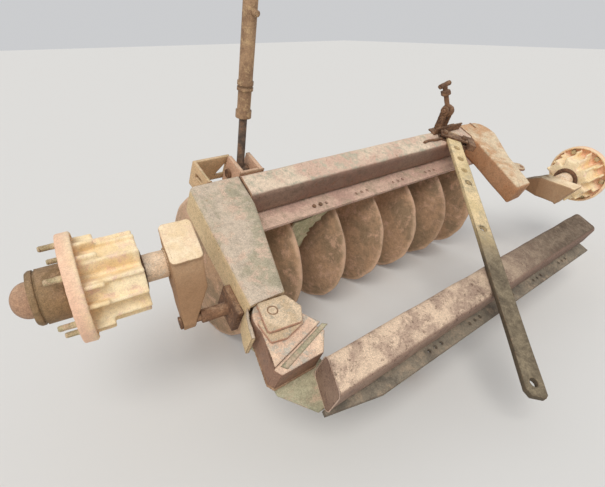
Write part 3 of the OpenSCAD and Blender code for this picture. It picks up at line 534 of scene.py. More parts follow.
def turned(profile, steps=64, closed=False):
    """A mesh turned about Z from (radius, height) pairs."""
    bm = bmesh.new()
    rings = []
    for radius, z in profile:
        if radius < 1e-6:
            rings.append([bm.verts.new((0, 0, z))])
        else:
            turns = [math.tau * i / steps for i in range(steps)]
            rings.append([bm.verts.new((radius * math.cos(t), radius * math.sin(t), z)) for t in turns])
    pairs = list(zip(rings, rings[1:]))
    if closed:
        pairs.append((rings[-1], rings[0]))
    for a, b in pairs:
        for i in range(steps):
            j = (i + 1) % steps
            if len(a) == 1 and len(b) == 1:
                continue
            if len(a) == 1:
                bm.faces.new((a[0], b[j], b[i]))
            elif len(b) == 1:
                bm.faces.new((a[i], a[j], b[0]))
            else:
                bm.faces.new((a[i], a[j], b[j], b[i]))
    return bm


def carved(bm, cutter):
    """Takes one closed solid out of another."""
    bmesh.ops.recalc_face_normals(cutter, faces=cutter.faces)
    holder, tool = held(bm), held(cutter)
    cut = holder.modifiers.new("cut", "BOOLEAN")
    cut.object, cut.operation, cut.solver = tool, "DIFFERENCE", "EXACT"
    made = taken(holder)
    bpy.data.objects.remove(tool)
    return made


left_box = cast(slab(anticlockwise(left_outline), 0, BEAM_H, 14, 4), 4.0, 2, 0.0)
outer_wall = slab([(-651, -369), (-656, -369), (-672, -390), (-690, -432), (-701, -469), (-689, -472),
                   (-670, -420)], 0, 92, 2.5, 2)
bmesh.ops.recalc_face_normals(outer_wall, faces=outer_wall.faces)
socket = turned([(0, -4), (SOCKET_R, -4), (SOCKET_R, SOCKET_TOP), (0, SOCKET_TOP)], 72)
bmesh.ops.translate(socket, vec=(PIN.x, PIN.y, 0), verts=socket.verts)
end_cut = slab([(-760, BEAM_END - 200), (-440, BEAM_END - 200), (-440, BEAM_END), (-760, BEAM_END)],
               92, 150, 0.2, 1)
left_box = joined(carved(carved(left_box, socket.copy()), end_cut), carved(outer_wall, socket))
knocked(left_box, 45, 2.2, 130, 7.0)
piece("left_side_beam_skin", left_box, side_paint, "front_frame", "side_beam_paint", "left_side_beam")

right_corners = [(1188, 171), (1438, 171), (1430, 35), (1300, -163), (1225, -365), (1092, -365), (1188, -5)]
right_outline = rounded_outline(right_corners, [1, 100, 40, 60, 12, 12, 20])
right_box = slab(right_outline, 0, BEAM_H, 15, 4)
knocked(right_box, 45, 2.6, 120, 11.0)
piece("right_side_beam_skin", right_box, corner_paint, "front_frame", "side_beam_paint", "right_side_beam")

# Discs
# Dished cutting discs, 660 mm across, spun from 6 mm sheet and worn thin at the
# rim. Soil has polished and stained them brown, with dull green and pink bloom.
DISC_R, DISC_T, DISC_DISH, DISC_FLAT, DISC_PAD = 330.0, 6.0, 75.0, 62.0, 9.0
AXLE = Vector((0, 105, -360))
RIM_STARTS, RIM_FULL, RIM_SHARE = 0.335, 0.360, 0.6
disc_steel = weathered(
    "stained disc steel", [(192, 156, 124), (162, 136, 108), (208, 170, 142)], (128, 94, 70),
    spread=5.4, rust_share=0.34, edge_wear=0.2, dust=0.3, dust_colour=(206, 176, 142), relief=0.6,
    rough=0.62, shift=5.3)
disc_steel.node_tree.nodes["Principled BSDF"].inputs["Metallic"].default_value = 0.15


def pale_rim(material, centre, start, end, tone, share):
    """Turns a material paler with the distance from an axis that runs along x through centre."""
    tree = material.node_tree
    base = tree.nodes["Principled BSDF"].inputs["Base Color"]
    at = wired(tree, "ShaderNodeTexCoord").outputs["Object"]
    off = wired(tree, "ShaderNodeVectorMath", {0: at, 1: centre}, operation="SUBTRACT").outputs[0]
    off = wired(tree, "ShaderNodeVectorMath", {0: off, 1: (0.0, 1.0, 1.0)}, operation="MULTIPLY").outputs[0]
    radius = wired(tree, "ShaderNodeVectorMath", {0: off}, operation="LENGTH").outputs["Value"]
    ragged = sums(tree, "MULTIPLY", speckle(tree, at, 11.0), 0.06)
    amount = between(tree, sums(tree, "ADD", radius, ragged), start, end, 0.0, share)
    tree.links.new(blended(tree, amount, base.links[0].from_socket, seen(*tone)), base)


pale_rim(disc_steel, PLAN @ AXLE, RIM_STARTS, RIM_FULL, (236, 200, 170), RIM_SHARE)
SPHERE_R = (DISC_R ** 2 + DISC_DISH ** 2) / (2 * DISC_DISH)


def dish(radius, ball):
    """Height of a ball's shell above its lowest point, at a radius from its axis."""
    return ball - math.sqrt(ball * ball - radius * radius)


def disc_mesh(seed):
    """One disc, its hollow side up, with the rim worn a little uneven."""
    radii = [27, 40, DISC_FLAT - 3, DISC_FLAT, 70, 90, 120, 150, 180, 210, 240, 270, 295, 312, 322, 327]
    outside = [(r, dish(r, SPHERE_R)) for r in radii] + [(DISC_R, dish(DISC_R, SPHERE_R) - 0.6)]
    outside[0:3] = [(27, 0.2), (40, 0.6), (DISC_FLAT - 3, dish(DISC_FLAT - 3, SPHERE_R))]
    inner_ball = SPHERE_R - DISC_T
    inside = [(r, DISC_T + dish(r, inner_ball)) for r in radii if r > DISC_FLAT + 4]
    inside = [(27, DISC_PAD), (DISC_FLAT - 1, DISC_PAD), (DISC_FLAT + 2, DISC_PAD - 0.4)] + inside
    bm = turned(outside + inside[::-1], 96, closed=True)
    for v in bm.verts:
        radius = math.hypot(v.co.x, v.co.y)
        if radius > 230:
            turn = math.atan2(v.co.y, v.co.x)
            wander = noise.noise(Vector((math.cos(turn) * 4, math.sin(turn) * 4, seed)))
            pull = 1 - max(0.0, 0.011 + 0.020 * wander) * ((radius - 230) / 100) ** 3
            v.co.x, v.co.y = v.co.x * pull, v.co.y * pull
    return bm


FACE_RIGHT = Matrix.Rotation(math.radians(90), 4, "Y")
for k in range(7):
    apex = Matrix.Translation((-510 + 270 * k, AXLE.y, AXLE.z))
    spun = Matrix.Rotation(math.radians(37 * k), 4, "Z")
    piece(f"disc_{k + 1}_skin", disc_mesh(2.0 * k + 0.5), disc_steel, "front_gang", "disc_steel",
          f"disc_{k + 1}", place=PLAN @ apex @ FACE_RIGHT @ spun)

# Shaft, spools and end nuts
# Square shaft with cast spools that hold the discs apart, drawn up by a nut and
# a washer at each end. All of it is caked and rusted.
gang_iron = weathered(
    "rusted cast iron", [(120, 88, 66), (100, 74, 58), (138, 104, 78)], (96, 62, 44),
    spread=9.0, rust_share=0.5, edge_wear=0.4, dust=0.3, relief=0.9, rough=0.8, shift=3.3)
piece("gang_shaft_skin", dressed("gang_shaft", 1.5), gang_iron, "front_gang", "dark_steel", "gang_shaft")
SPOOL_L, SPOOL_R, SPOOL_FLANGE = 260.4, 45.0, 60.0
half = [(26, 0), (SPOOL_FLANGE - 2, 0), (SPOOL_FLANGE, 2), (SPOOL_FLANGE, 10), (SPOOL_FLANGE - 3, 13),
        (SPOOL_R + 5, 16), (SPOOL_R, 24)]
spool = turned(half + [(SPOOL_R - 5, SPOOL_L / 2)] + [(r, SPOOL_L - z) for r, z in half[::-1]], 40,
               closed=True)
bmesh.ops.transform(spool, matrix=FACE_RIGHT, verts=spool.verts)
spools = copied(ROW, spool, gang_iron, Count=6, Start=(-500.7, AXLE.y, AXLE.z), Step=(270, 0, 0))
piece("gang_spools_skin", spools, gang_iron, "front_gang", "rusted_steel", "gang_spools")
piece("gang_end_nuts_skin", dressed("gang_end_nuts", 2.0), gang_iron, "front_gang", "dark_steel",
      "gang_end_nuts")

# Gang stands and bearings
# Welded stands of plate hang the gangs below the beams. The two front ones carry
# cast bearings, the two rear ones end in bare seats.
stand_paint = weathered(
    "rusty stand plate", [(178, 138, 106), (152, 116, 90), (190, 156, 124)], (124, 82, 58),
    spread=8.0, rust_share=0.5, edge_wear=0.7, dust=0.3, relief=0.8, rough=0.8, shift=6.2)
weld_metal = weathered(
    "old weld metal", [(170, 134, 104), (146, 112, 88), (186, 154, 124)], (118, 80, 58),
    spread=16.0, rust_share=0.42, edge_wear=0.2, dust=0.3, relief=0.5, rough=0.75, shift=1.1)
BEARING_X, REAR_STAND_X = (-100.5, 709.5), (0, 810)
STAND_W, SEAT_W, STAND_TOP, STAND_FOOT = 100, 130, -13, -281.7


def worn(node, edge, step, depth, size, material, body, finish, seed=0.0, place=PLAN):
    """A CAD node's copy with eased edges and knocks, as the piece that stands for it."""
    bm = knocked(dressed(node, edge, place=place), step, depth, size, seed)
    return piece(f"{node}_skin", bm, material, body, finish, node, place=place)


def round_stand(x, y):
    """Weld paths round a stand's top and along both sides of its upright plate."""
    w, d = STAND_W / 2 + 1, SEAT_W / 2 + 1
    top = [(x - w, y - d), (x + w, y - d), (x + w, y + d), (x - w, y + d), (x - w, y - d)]
    paths = [[(px, py, STAND_TOP) for px, py in top]]
    for side in (-12, 12):
        for z in (STAND_TOP - 15, STAND_FOOT + 15):
            paths.append([(x + side, y - 50, z), (x + side, y + 50, z)])
    return paths


worn("gang_stands", 2.5, 40, 1.2, 50, stand_paint, "front_frame", "rusted_steel")
worn("rear_stands", 2.5, 40, 1.2, 50, stand_paint, "rear_frame", "rusted_steel")
piece("gang_bearings_skin", cast(dressed("gang_bearings", 3.0), 3.4, uneven=1.2), gang_iron,
      "front_frame", "rusted_steel", "gang_bearings")
front_stand_paths = round_stand(BEARING_X[0], AXLE.y) + round_stand(BEARING_X[1], AXLE.y)
rear_stand_paths = round_stand(REAR_STAND_X[0], REAR_Y) + round_stand(REAR_STAND_X[1], REAR_Y)

# Scraper
# The one scraper left: a bent strip with a broad blade, worn to a ragged edge. Two
# square bolts hold it in the first hole group of the front gang plate.
scraper_paint = weathered(
    "pale worn scraper", [(206, 198, 160), (180, 172, 136), (214, 194, 162)], (132, 104, 74),
    spread=9.0, rust_share=0.25, edge_wear=0.6, dust=0.2, relief=0.8, shift=1.2)
rust_iron = weathered(
    "deep rust", [(140, 104, 78), (112, 84, 66), (160, 122, 92)], (98, 68, 52),
    spread=12.0, rust_share=0.5, edge_wear=0.5, dust=0.3, relief=1.0, rough=0.85, shift=7.7)
worn("scraper", 1.5, 18, 1.6, 26, scraper_paint, "front_frame", "pale_paint", 5.0)


def nut(across, high, sides=6):
    """A nut or bolt head with eased corners."""
    outline = [across / 2 / math.cos(math.pi / sides) * Vector((math.cos(t), math.sin(t)))
               for t in [math.tau * (i + 0.5) / sides for i in range(sides)]]
    return slab(rounded_outline(outline, [1.5] * sides, 2), 0, high, 2.0, 2)


piece("scraper_bolts", copied(ROW, nut(17, 7), rust_iron, Count=2, Start=(-37.5, 0, -0.3),
                              Step=(37.5, 0, 0)), rust_iron, "front_frame", "rusted_steel")

# Rear hinge
# Knuckle with a heavy pin at the rear of the left side beam. Two five-sided
# plates keep it down, and a welded box with a plate below takes the rear beam.
# Upright faces of the cap plates and the lift lug go darker brown: painted shade.
hinge_paint = weathered(
    "pale hinge paint", [(232, 206, 174), (210, 184, 150), (188, 176, 154)], (150, 108, 82),
    spread=12.0, rust_share=0.34, edge_wear=0.9, dust=0.3, relief=0.8, shift=8.2, side=(196, 146, 124))
# Upright faces of the box go dark brown: painted shade.
arm_box_paint = weathered(
    "cream and rust box", [(244, 212, 182), (230, 196, 170), (198, 192, 178)], (140, 96, 72),
    spread=7.0, rust_share=0.30, edge_wear=0.8, dust=0.3, relief=0.8, shift=9.4, side=(132, 94, 74))
under_plate_paint = weathered(
    "grey green plate", [(186, 180, 150), (166, 160, 132), (198, 174, 148)], (128, 98, 74),
    spread=6.5, rust_share=0.32, edge_wear=0.8, dust=0.3, relief=0.7, shift=3.9)
LOWER_CAP = [(-74, 6), (64, 30), (66, -62), (-20, -84), (-74, -74)]
UPPER_CAP = [(-46, 58), (60, 48), (86, -12), (54, -62), (-70, -48)]
CAP_LEVELS = ((101, 114), (114.3, 127.3))
KNUCKLE_TOP = 100.0
caps = bmesh.new()
for corners, (low, high) in zip((LOWER_CAP, UPPER_CAP), CAP_LEVELS):
    outline = rounded_outline([PIN + Vector(c) for c in corners], [9] * 5, 4)
    slab(outline, low, high, 3.5, 3, caps)
knocked(caps, 16, 1.1, 34, 2.0)
for v in caps.verts:
    v.co.z = max(v.co.z, CAP_LEVELS[0][0] + 0.3)
piece("hinge_cap_plates_skin", caps, hinge_paint, "front_frame", "pale_paint", "hinge_cap_plates")
worn_ring = [PIN + Vector((-14 + 17 * math.cos(k), 14 + 15 * math.sin(k))) for k in
             [math.tau * j / 20 for j in range(21)]]
piece("hinge_cap_weld", welds([[(x, y, CAP_LEVELS[1][1] - 0.8) for x, y in worn_ring]], 3.2, 3, weld_metal),
      weld_metal, "front_frame", "rusted_steel")
# A thin sheet in the grey-green of the lower plate, laid where a recess lies in shade: painted shade.
SHADE_STRIP, SHADE_STRIP_LEVELS = [(132, -84), (150, -96), (-70, -164), (-84, -146)], (91.2, 93.4)
strip = slab([PIN + Vector(c) for c in SHADE_STRIP], *SHADE_STRIP_LEVELS, 0.8, 1)
piece("hinge_strip", knocked(strip, 20, 0.5, 30), under_plate_paint, "rear_frame", "plate_paint")
worn("hinge_pin", 3.0, 14, 0.8, 18, rust_iron, "front_frame", "dark_steel")
piece("hinge_ear_skin", dressed("hinge_ear", 3.0), under_plate_paint, "front_frame", "side_beam_paint",
      "hinge_ear")
arm_box = knocked(dressed("rear_hinge_arm", 5.0, 3), 28, 1.6, 60, 4.0)
for v in arm_box.verts:
    v.co.z = min(v.co.z, KNUCKLE_TOP)
piece("rear_hinge_arm_skin", arm_box, arm_box_paint, "rear_frame", "cream_paint", "rear_hinge_arm")
worn("rear_hinge_plate", 3.0, 40, 1.8, 80, under_plate_paint, "rear_frame", "plate_paint", 9.0)

# Rear beam
# The same rolled section as the front beam, darker and more deeply speckled. Its upright faces and its right
# end go darker still: painted shade.
rear_paint = weathered(
    "speckled brown paint", [(234, 206, 178), (190, 162, 142), (240, 210, 182)], (112, 88, 74),
    spread=8.0, rust_share=0.50, edge_wear=0.9, dust=0.25, dust_colour=(222, 198, 170), relief=1.0,
    shift=12.0, side=(142, 114, 98),
    far=((92, 76, 62), PLAN @ Vector((-100, REAR_Y, 120)), PLAN @ Vector((1000, REAR_Y, 120))))
beam = box_beam(-590, 1300, REAR_Y)
cut_off(beam, Vector((-536, -631, 0)), Vector((-126, 48, 0)))
knocked(beam, 42, 2.6, 110, 17.0)
piece("rear_beam_skin", beam, rear_paint, "rear_frame", "beam_paint", "rear_beam")

END_CUT = [(-536 + (y + 631) * 48 / 126, y, z) for y, z in
           rounded_outline([(REAR_Y - 64, -1), (REAR_Y + 64, -1), (REAR_Y + 64, BEAM_H + 1),
                            (REAR_Y - 64, BEAM_H + 1)], [BEAM_EDGE] * 4, 7)]
rim_paint = weathered(
    "worn pale rim", [(236, 206, 184), (220, 188, 164), (228, 196, 176)], (150, 110, 86),
    spread=12.0, rust_share=0.3, edge_wear=0.3, dust=0.2, relief=0.6, shift=0.4)
piece("rear_beam_rim", welds([END_CUT + END_CUT[:1]], 2.2, 4, rim_paint), rim_paint, "rear_frame",
      "beam_paint")

# Angle bar and its clamp
# Flat bar with a row of holes that once held the rear frame at its angle. It is
# clamped on the front beam, and its far end rests free over the rear beam.
BAR_FIRST, BAR_TURN = Vector((927, -12, 126)), math.atan2(-1054, -874)
ON_BAR = PLAN @ Matrix.Translation(BAR_FIRST) @ Matrix.Rotation(BAR_TURN, 4, "Z")
# The bar goes dark brown along its far part over the rear beam: painted shade.
bar_paint = weathered(
    "yellowed bar paint", [(238, 212, 166), (222, 198, 150), (198, 180, 144)], (136, 104, 76),
    spread=5.0, rust_share=0.28, edge_wear=0.8, dust=0.25, dust_colour=(234, 214, 176), relief=0.7,
    shift=5.9, far=((96, 84, 68), ON_BAR @ Vector((500, 0, 0)), ON_BAR @ Vector((860, 0, 0))))
worn("angle_bar", 2.5, 60, 1.4, 150, bar_paint, "front_frame", "bar_paint", 6.0, ON_BAR)
worn("bar_clamp", 2.0, 16, 1.4, 24, rust_iron, "front_frame", "rusted_steel", place=ON_BAR)
CLAMP_BOLT_OUT, CLAMP_TOP = 58, 28.3
piece("clamp_nuts", copied(ROW, nut(30, 14), rust_iron, Count=2,
                           Start=(-100, -CLAMP_BOLT_OUT, CLAMP_TOP), Step=(0, 2 * CLAMP_BOLT_OUT, 0)),
      rust_iron, "front_frame", "rusted_steel", place=ON_BAR)


def rod(points, radius, sides=12, rough=0.0):
    """A round rod through points, its ends closed."""
    curve = bpy.data.curves.new("rod", "CURVE")
    curve.dimensions = "3D"
    curve.bevel_depth, curve.bevel_resolution, curve.use_fill_caps = radius, sides // 4, True
    line = curve.splines.new("NURBS")
    line.points.add(len(points) - 1)
    for knot, place in zip(line.points, points):
        knot.co = (*place, 1.0)
    line.use_endpoint_u, line.order_u = True, 3
    holder = bpy.data.objects.new("rod", curve)
    scene.collection.objects.link(holder)
    made = taken(holder)
    bpy.data.curves.remove(curve)
    for v in made.verts:
        v.co += Vector([rough * noise.noise(v.co / 9 + Vector((k, 0, 0))) for k in range(3)])
    return made


piece("clamp_rod", rod([(1010, 84, 128), (940, 96, 129), (880, 92, 128), (820, 104, 127.5), (772, 96, 127)],
                       6.5, rough=1.4), rust_iron, "front_frame", "rusted_steel")

# Hitch bracket and ram clevis
# Open box of plate and a pair of clevis plates, welded to the front of the left
# corner. The bracket is empty, since the drawbar is gone.
# Upright faces of the bracket and the clevis go a little darker: painted shade.
bracket_paint = weathered(
    "olive tan bracket", [(222, 192, 152), (200, 178, 136), (230, 198, 162)], (142, 102, 72),
    spread=8.0, rust_share=0.32, edge_wear=0.9, dust=0.3, relief=0.8, shift=2.9, side=(216, 180, 138))
clevis_paint = weathered(
    "pink clevis", [(224, 184, 154), (204, 168, 140), (228, 198, 170)], (146, 100, 74),
    spread=9.0, rust_share=0.32, edge_wear=0.8, dust=0.35, relief=0.8, shift=4.7, side=(218, 176, 146))
worn("hitch_bracket", 2.0, 30, 1.4, 60, bracket_paint, "front_frame", "beam_paint")
worn("ram_clevis", 3.0, 24, 1.2, 50, clevis_paint, "front_frame", "beam_paint")
worn("ram_foot_pin", 2.0, 12, 0.8, 14, rust_iron, "front_frame", "dark_steel")

# Ram
# Thin hydraulic ram on its foot pin: a dark rod, and a tan barrel with a ringed
# gland at its lower end and an eye at the top.
ram_paint = weathered(
    "tan ram paint", [(172, 138, 106), (150, 118, 90), (190, 158, 120)], (118, 84, 62),
    spread=12.0, rust_share=0.34, edge_wear=0.4, dust=0.15, relief=0.6, rough=0.55, shift=6.6)
rod_steel = weathered(
    "tarnished rod", [(108, 90, 76), (86, 74, 66), (136, 106, 84)], (112, 76, 56),
    spread=14.0, rust_share=0.35, edge_wear=0.2, dust=0.1, relief=0.3, rough=0.42, shift=7.1)
piece("ram_rod_skin", dressed("ram_rod", 1.5), rod_steel, "ram_rod", "dark_steel", "ram_rod")
piece("ram_barrel_skin", dressed("ram_barrel", 2.0, 3), ram_paint, "ram_barrel", "ram_paint",
      "ram_barrel")

# Link work on the right corner
# Angle iron, two upright plates and a rod with an eye, all one lump of rust, and
# a torn lug that took the lift ram.
piece("link_stand_skin", cast(dressed("link_stand", 1.5), 2.4, 3, 1.4, 14.0), rust_iron, "front_frame",
      "rusted_steel", "link_stand")
piece("link_rod_skin", cast(dressed("link_rod", 1.2), 2.2, 3, 1.4, 12.0), rust_iron, "front_frame",
      "rusted_steel", "link_rod")
worn("lift_lug", 2.0, 16, 1.2, 26, hinge_paint, "front_frame", "pale_paint")

# Wheel arms
# Welded arms with a sloping cap and a narrow foot. Each swings on a shaft that a
# thick plate holds on the outside of its side beam, and carries a stub axle.
JOINTS = {joint["name"]: joint for joint in frame["record"]["behaviour"]["joints"]}
MM = Matrix.Scale(0.001, 4)
LEFT_TURN = (Matrix.Rotation(math.radians(-13.5), 4, "Z") @ Matrix.Rotation(math.radians(-4), 4, "Y")
             @ Matrix.Rotation(math.radians(3), 4, "X"))
RIGHT_TURN = Matrix.Rotation(math.radians(97), 4, "X")
ARM_TURN = {"left": LEFT_TURN, "right": RIGHT_TURN @ Matrix.Scale(-1, 4, Vector((1, 0, 0)))}
HUB_TURN = {"left": LEFT_TURN @ Matrix.Rotation(math.radians(-90), 4, "Y")
            @ Matrix.Rotation(math.radians(14), 4, "Z"),
            "right": RIGHT_TURN @ Matrix.Rotation(math.radians(90), 4, "Y")}


def placed(joint, turn):
    """Place for a mesh drawn in millimetres round a joint."""
    return Matrix.Translation(JOINTS[joint]["pos_m"]) @ turn @ MM


ARM_SIDE, CAP_SLOPE, CAP_FOOT, CAP_LEN = 49, math.radians(33), (-19, 228.6), 134.7
STUB_AT, STUB_R, ARM_FRONT = (69, 190), 44, 92
ARM_VOXEL = {"left": 2.4, "right": 3.6}


def on_cap(x, s, off):
    """Point beside the arm's top: x across, s up the slope, off above the arm's own top."""
    return (x, CAP_FOOT[0] + s * math.cos(CAP_SLOPE) - off * math.sin(CAP_SLOPE),
            CAP_FOOT[1] + s * math.sin(CAP_SLOPE) + off * math.cos(CAP_SLOPE))


RIM, RIM_CORNER, RIM_INSET, CAP_LIFT = ARM_SIDE - 7, 6, 8, 7.4
low_s, high_s = RIM_INSET, CAP_LEN - RIM_INSET
near, wide = RIM - RIM_CORNER, RIM
rim_outline = [(-near, low_s), (near, low_s), (wide, low_s + RIM_CORNER), (wide, high_s - RIM_CORNER),
               (near, high_s), (-near, high_s), (-wide, high_s - RIM_CORNER), (-wide, low_s + RIM_CORNER),
               (-near, low_s)]
cap_path = [on_cap(x, s, CAP_LIFT) for x, s in rim_outline]
stub_turns = [math.tau * k / 36 for k in range(37)]
stub_path = [(-ARM_SIDE - 2, STUB_AT[0] + (STUB_R + 2) * math.cos(t), STUB_AT[1] + (STUB_R + 2) * math.sin(t))
             for t in stub_turns if STUB_AT[0] + (STUB_R + 2) * math.cos(t) < ARM_FRONT]
stub_path = [[p for p in stub_path if p[2] >= STUB_AT[1]], [p for p in stub_path if p[2] < STUB_AT[1]]]
for side in ("left", "right"):
    place = placed(f"{side}_arm_swing", ARM_TURN[side])
    # Upright faces of the arm go darker brown, and the arm turns near black brown towards its pivot: painted
    # shade.
    arm_paint = weathered(
        f"{side} arm paint", [(250, 226, 192), (236, 208, 168), (230, 194, 162)], (150, 108, 78),
        spread=9.0, rust_share=0.28, edge_wear=0.6, dust=0.4, dust_colour=(248, 228, 192), relief=0.7,
        shift=5.2, grit=0.5, side=(172, 134, 100),
        far=((74, 52, 32), place @ Vector((0, 60, 235)), place @ Vector((0, 50, 110))))
    stub_paint = weathered(
        f"{side} stub paint", [(246, 222, 194), (232, 202, 170), (222, 204, 182)], (150, 112, 84),
        spread=9.0, rust_share=0.3, edge_wear=0.6, dust=0.3, dust_colour=(236, 214, 186), relief=0.6,
        shift=1.2)
    worn(f"{side}_arm_pivot", 2.5, 24, 1.2, 40, rust_iron, "front_frame", "rusted_steel")
    arm = cast(dressed(f"{side}_wheel_arm", 3.0, place=place), ARM_VOXEL[side], 5, 1.3, 30.0)
    piece(f"{side}_wheel_arm_skin", arm, arm_paint, f"{side}_arm", "cream_paint", f"{side}_wheel_arm",
          place=place)
    worn(f"{side}_stub_axle", 3.0, 20, 0.9, 40, stub_paint, f"{side}_arm", "cream_paint", place=place)
    piece(f"{side}_arm_welds", joined(welds([cap_path], 2.6, 5, arm_paint),
                                      welds(stub_path, 4.0, 6, arm_paint)), arm_paint,
          f"{side}_arm", "cream_paint", place=place)

# Wheel hubs
# Cast hubs with six deep lobes behind the wheel flange, six studs with square
# heads, a bare barrel that centred the wheel, and a domed grease cap.
barrel_paint = weathered(
    "olive brown barrel", [(146, 118, 84), (126, 102, 70), (158, 128, 96)], (112, 80, 58),
    spread=7.0, rust_share=0.32, edge_wear=0.3, dust=0.2, relief=0.6, rough=0.6, shift=8.8)
dome_paint = weathered(
    "red brown cap", [(178, 140, 112), (156, 120, 94), (190, 152, 122)], (120, 84, 62),
    spread=9.0, rust_share=0.28, edge_wear=0.3, dust=0.2, relief=0.5, rough=0.58, shift=4.4)
FLANGE_R, FLANGE_T, CASTING_L, CORE_R, RIB_R, BORE_R = 165, 18, 188, 84, 122, 36.2
LIP_T, LIP_H = 12, 24
RIB_STEP, STUD_CIRCLE, STUD_R, STUD_L = 20, 135, 9, 48
LOBE_HALF, WALL_W = 38, 13
BARREL_R, BARREL_L, DOME_R, DOME_H = 82, 85, 54, 48
HUB_VOXEL = {"left": 2.8, "right": 4.0}


def lobe():
    """One lobe of the casting: a block with a wall along each side, taller beside the flange."""
    back, step = -FLANGE_T - CASTING_L, -FLANGE_T - 0.42 * CASTING_L
    floor_r = RIB_R - 12
    parts = [slab(rounded_outline([(60, -37), (floor_r, -37), (floor_r, 37), (60, 37)], [1, 4, 4, 1], 3),
                  back, -FLANGE_T + 2, 4.0, 3)]
    for y in (-LOBE_HALF, LOBE_HALF - WALL_W):
        low = rounded_outline([(70, y), (RIB_R, y), (RIB_R, y + WALL_W), (70, y + WALL_W)], [1, 4, 4, 1], 3)
        parts.append(slab(low, back, -FLANGE_T + 2, 4.0, 3))
        y *= 0.86
        tall_r = RIB_R + RIB_STEP
        tall = rounded_outline([(70, y), (tall_r, y), (tall_r, y + WALL_W), (70, y + WALL_W)],
                               [1, 4, 4, 1], 3)
        parts.append(slab(tall, step, -FLANGE_T + 2, 4.0, 3))
    return joined(*parts)


def hub_casting(voxel, finish):
    back = -FLANGE_T - CASTING_L
    core = turned([(BORE_R, back), (CORE_R - 4, back), (CORE_R, back + 4), (CORE_R, -FLANGE_T - 14),
                   (CORE_R + 12, -FLANGE_T), (FLANGE_R - LIP_T - 4, -FLANGE_T),
                   (FLANGE_R - LIP_T, -FLANGE_T - 4), (FLANGE_R - LIP_T, -FLANGE_T - LIP_H + 3),
                   (FLANGE_R - LIP_T + 3, -FLANGE_T - LIP_H), (FLANGE_R - 4, -FLANGE_T - LIP_H),
                   (FLANGE_R, -FLANGE_T - LIP_H + 4), (FLANGE_R, -4), (FLANGE_R - 4, 0), (BORE_R, 0)],
                  96, closed=True)
    lobes = copied(RING, lobe(), finish, Count=6, First_turn=math.pi / 6)
    return cast(joined(core, lobes), voxel, 3, 1.1, 22.0)


def stud():
    """One wheel stud: square head behind the flange, threaded end in front of it."""
    head = slab(rounded_outline([(-13, -13), (13, -13), (13, 13), (-13, 13)], [3] * 4, 3),
                -FLANGE_T - 14, -FLANGE_T - 0.4, 2.5, 2)
    thread = [(STUD_R - 0.9 * (k % 2), 14 + 1.6 * k) for k in range(20)]
    shank = turned([(0, -FLANGE_T), (STUD_R - 1, -FLANGE_T), (STUD_R - 1, 0), (STUD_R, 0.4)] + thread
                   + [(STUD_R - 2.5, STUD_L), (0, STUD_L)], 16)
    made = joined(head, shank)
    bmesh.ops.translate(made, vec=(STUD_CIRCLE, 0, 0), verts=made.verts)
    return made


def hub_barrel():
    r, end = BARREL_R, BARREL_L
    return turned([(0, 0.4), (r - 2, 0.4), (r - 2, 6), (r, 8), (r, end - 12), (r - 5, end - 11),
                   (r - 5, end - 6), (r - 1.5, end - 5), (r - 1, end - 3), (r - 1, end + 6),
                   (r - 6, end + 13.5), (r - 16, end + 14), (0, end + 14)], 72)


def grease_cap():
    base = BARREL_L + 22
    arc = [math.radians(a) for a in range(0, 91, 9)]
    profile = [(0, base - 12), (DOME_R + 2, base - 12), (DOME_R + 3, base - 9), (DOME_R + 2, base - 3),
               (DOME_R, base - 1)]
    return turned(profile + [(max(0, DOME_R * math.cos(a)), base + DOME_H * math.sin(a)) for a in arc[:-1]]
                  + [(0, base + DOME_H)], 56)


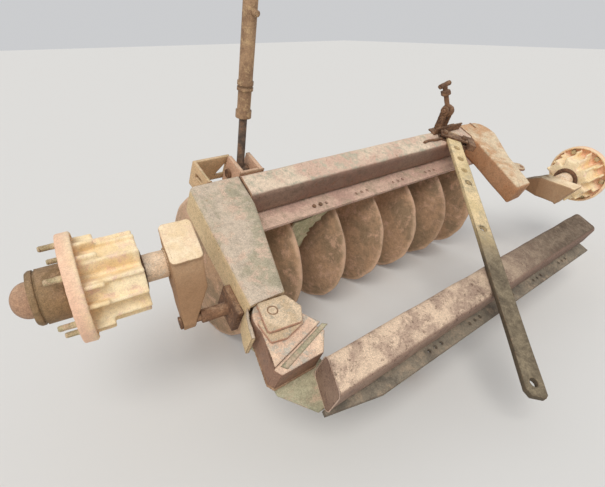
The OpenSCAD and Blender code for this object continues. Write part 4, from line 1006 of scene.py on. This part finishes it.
for side in ("left", "right"):
    place = placed(f"{side}_hub_turn", HUB_TURN[side])
    cream_paint = weathered(
        f"{side} hub cream", [(253, 232, 192), (246, 218, 170), (240, 206, 178)], (176, 128, 84),
        spread=8.0, rust_share=0.20, edge_wear=0.5, dust=0.3, dust_colour=(253, 232, 196), relief=0.6,
        shift=2.1, grit=0.55, far=((242, 198, 168), place @ Vector((0, 0, -60)), place @ Vector((0, 0, -8))))
    stud_steel = weathered(
        f"{side} stud steel", [(206, 190, 150), (184, 166, 128), (214, 186, 152)], (140, 100, 70),
        spread=12.0, rust_share=0.34, edge_wear=0.4, dust=0.2, relief=0.6, shift=3.3)
    piece(f"{side}_hub_skin", hub_casting(HUB_VOXEL[side], cream_paint), cream_paint, f"{side}_hub",
          "cream_paint", f"{side}_hub", place=place, crease=60)
    piece(f"{side}_hub_studs_skin", copied(RING, stud(), stud_steel, Count=6, First_turn=0.0),
          stud_steel, f"{side}_hub", "cream_paint", f"{side}_hub_studs", place=place)
    back = -FLANGE_T - CASTING_L
    seal = turned([(46, back - 1), (66, back - 1), (68, back - 3), (68, back - 5), (62, back - 6.5),
                   (48, back - 6.5), (46, back - 5)], 56, closed=True)
    piece(f"{side}_hub_seal", seal, rust_iron, f"{side}_hub", "rusted_steel", place=place)
    piece(f"{side}_hub_barrel_skin", knocked(hub_barrel(), 26, 0.8, 40), barrel_paint, f"{side}_hub",
          "barrel_paint", f"{side}_hub_barrel", place=place)
    piece(f"{side}_grease_cap_skin", knocked(grease_cap(), 20, 1.0, 30), dome_paint, f"{side}_hub",
          "barrel_paint", f"{side}_hub_barrel", place=place)

# Weld beads of the frames
# Runs of old weld where the beams, brackets, stands and plates meet, rusted over.
LEFT_SEAM, RIGHT_SEAM = [(-357, 149), (-370, 62)], [(1188, 149), (1188, 62)]
seams = []
for (x1, y1), (x2, y2) in (LEFT_SEAM, RIGHT_SEAM):
    seams.append([(x1, y1, 120), (x2, y2, 120), (x2 - 1, 52, 114), (x2 - 1, 45, 98), (x2 - 1, 44, 12)])
FRONT_SEAM_Y, BRACKET_SEAMS = 172.5, (-493, -478, -346, -234)
for x in BRACKET_SEAMS:
    seams.append([(x, FRONT_SEAM_Y, 4), (x, FRONT_SEAM_Y, 112)])
seams.append([(BRACKET_SEAMS[2], FRONT_SEAM_Y, 120), (BRACKET_SEAMS[3], FRONT_SEAM_Y, 120)])
for x in (1059, 1307):
    seams.append([(x, 118, 121), (x, 162, 121)])
piece("front_frame_welds", welds(seams + front_stand_paths, 4.5, 11, weld_metal), weld_metal,
      "front_frame", "rusted_steel")
BOX_FOOT = [(-664, -464), (-698, -590), (-686, -613), (-520, -613), (-468, -550), (-514, -464)]
seams = [[(x, y, 1.0) for x, y in BOX_FOOT]]
piece("rear_frame_welds", welds(seams + rear_stand_paths, 4.5, 12, weld_metal), weld_metal,
      "rear_frame", "rusted_steel")
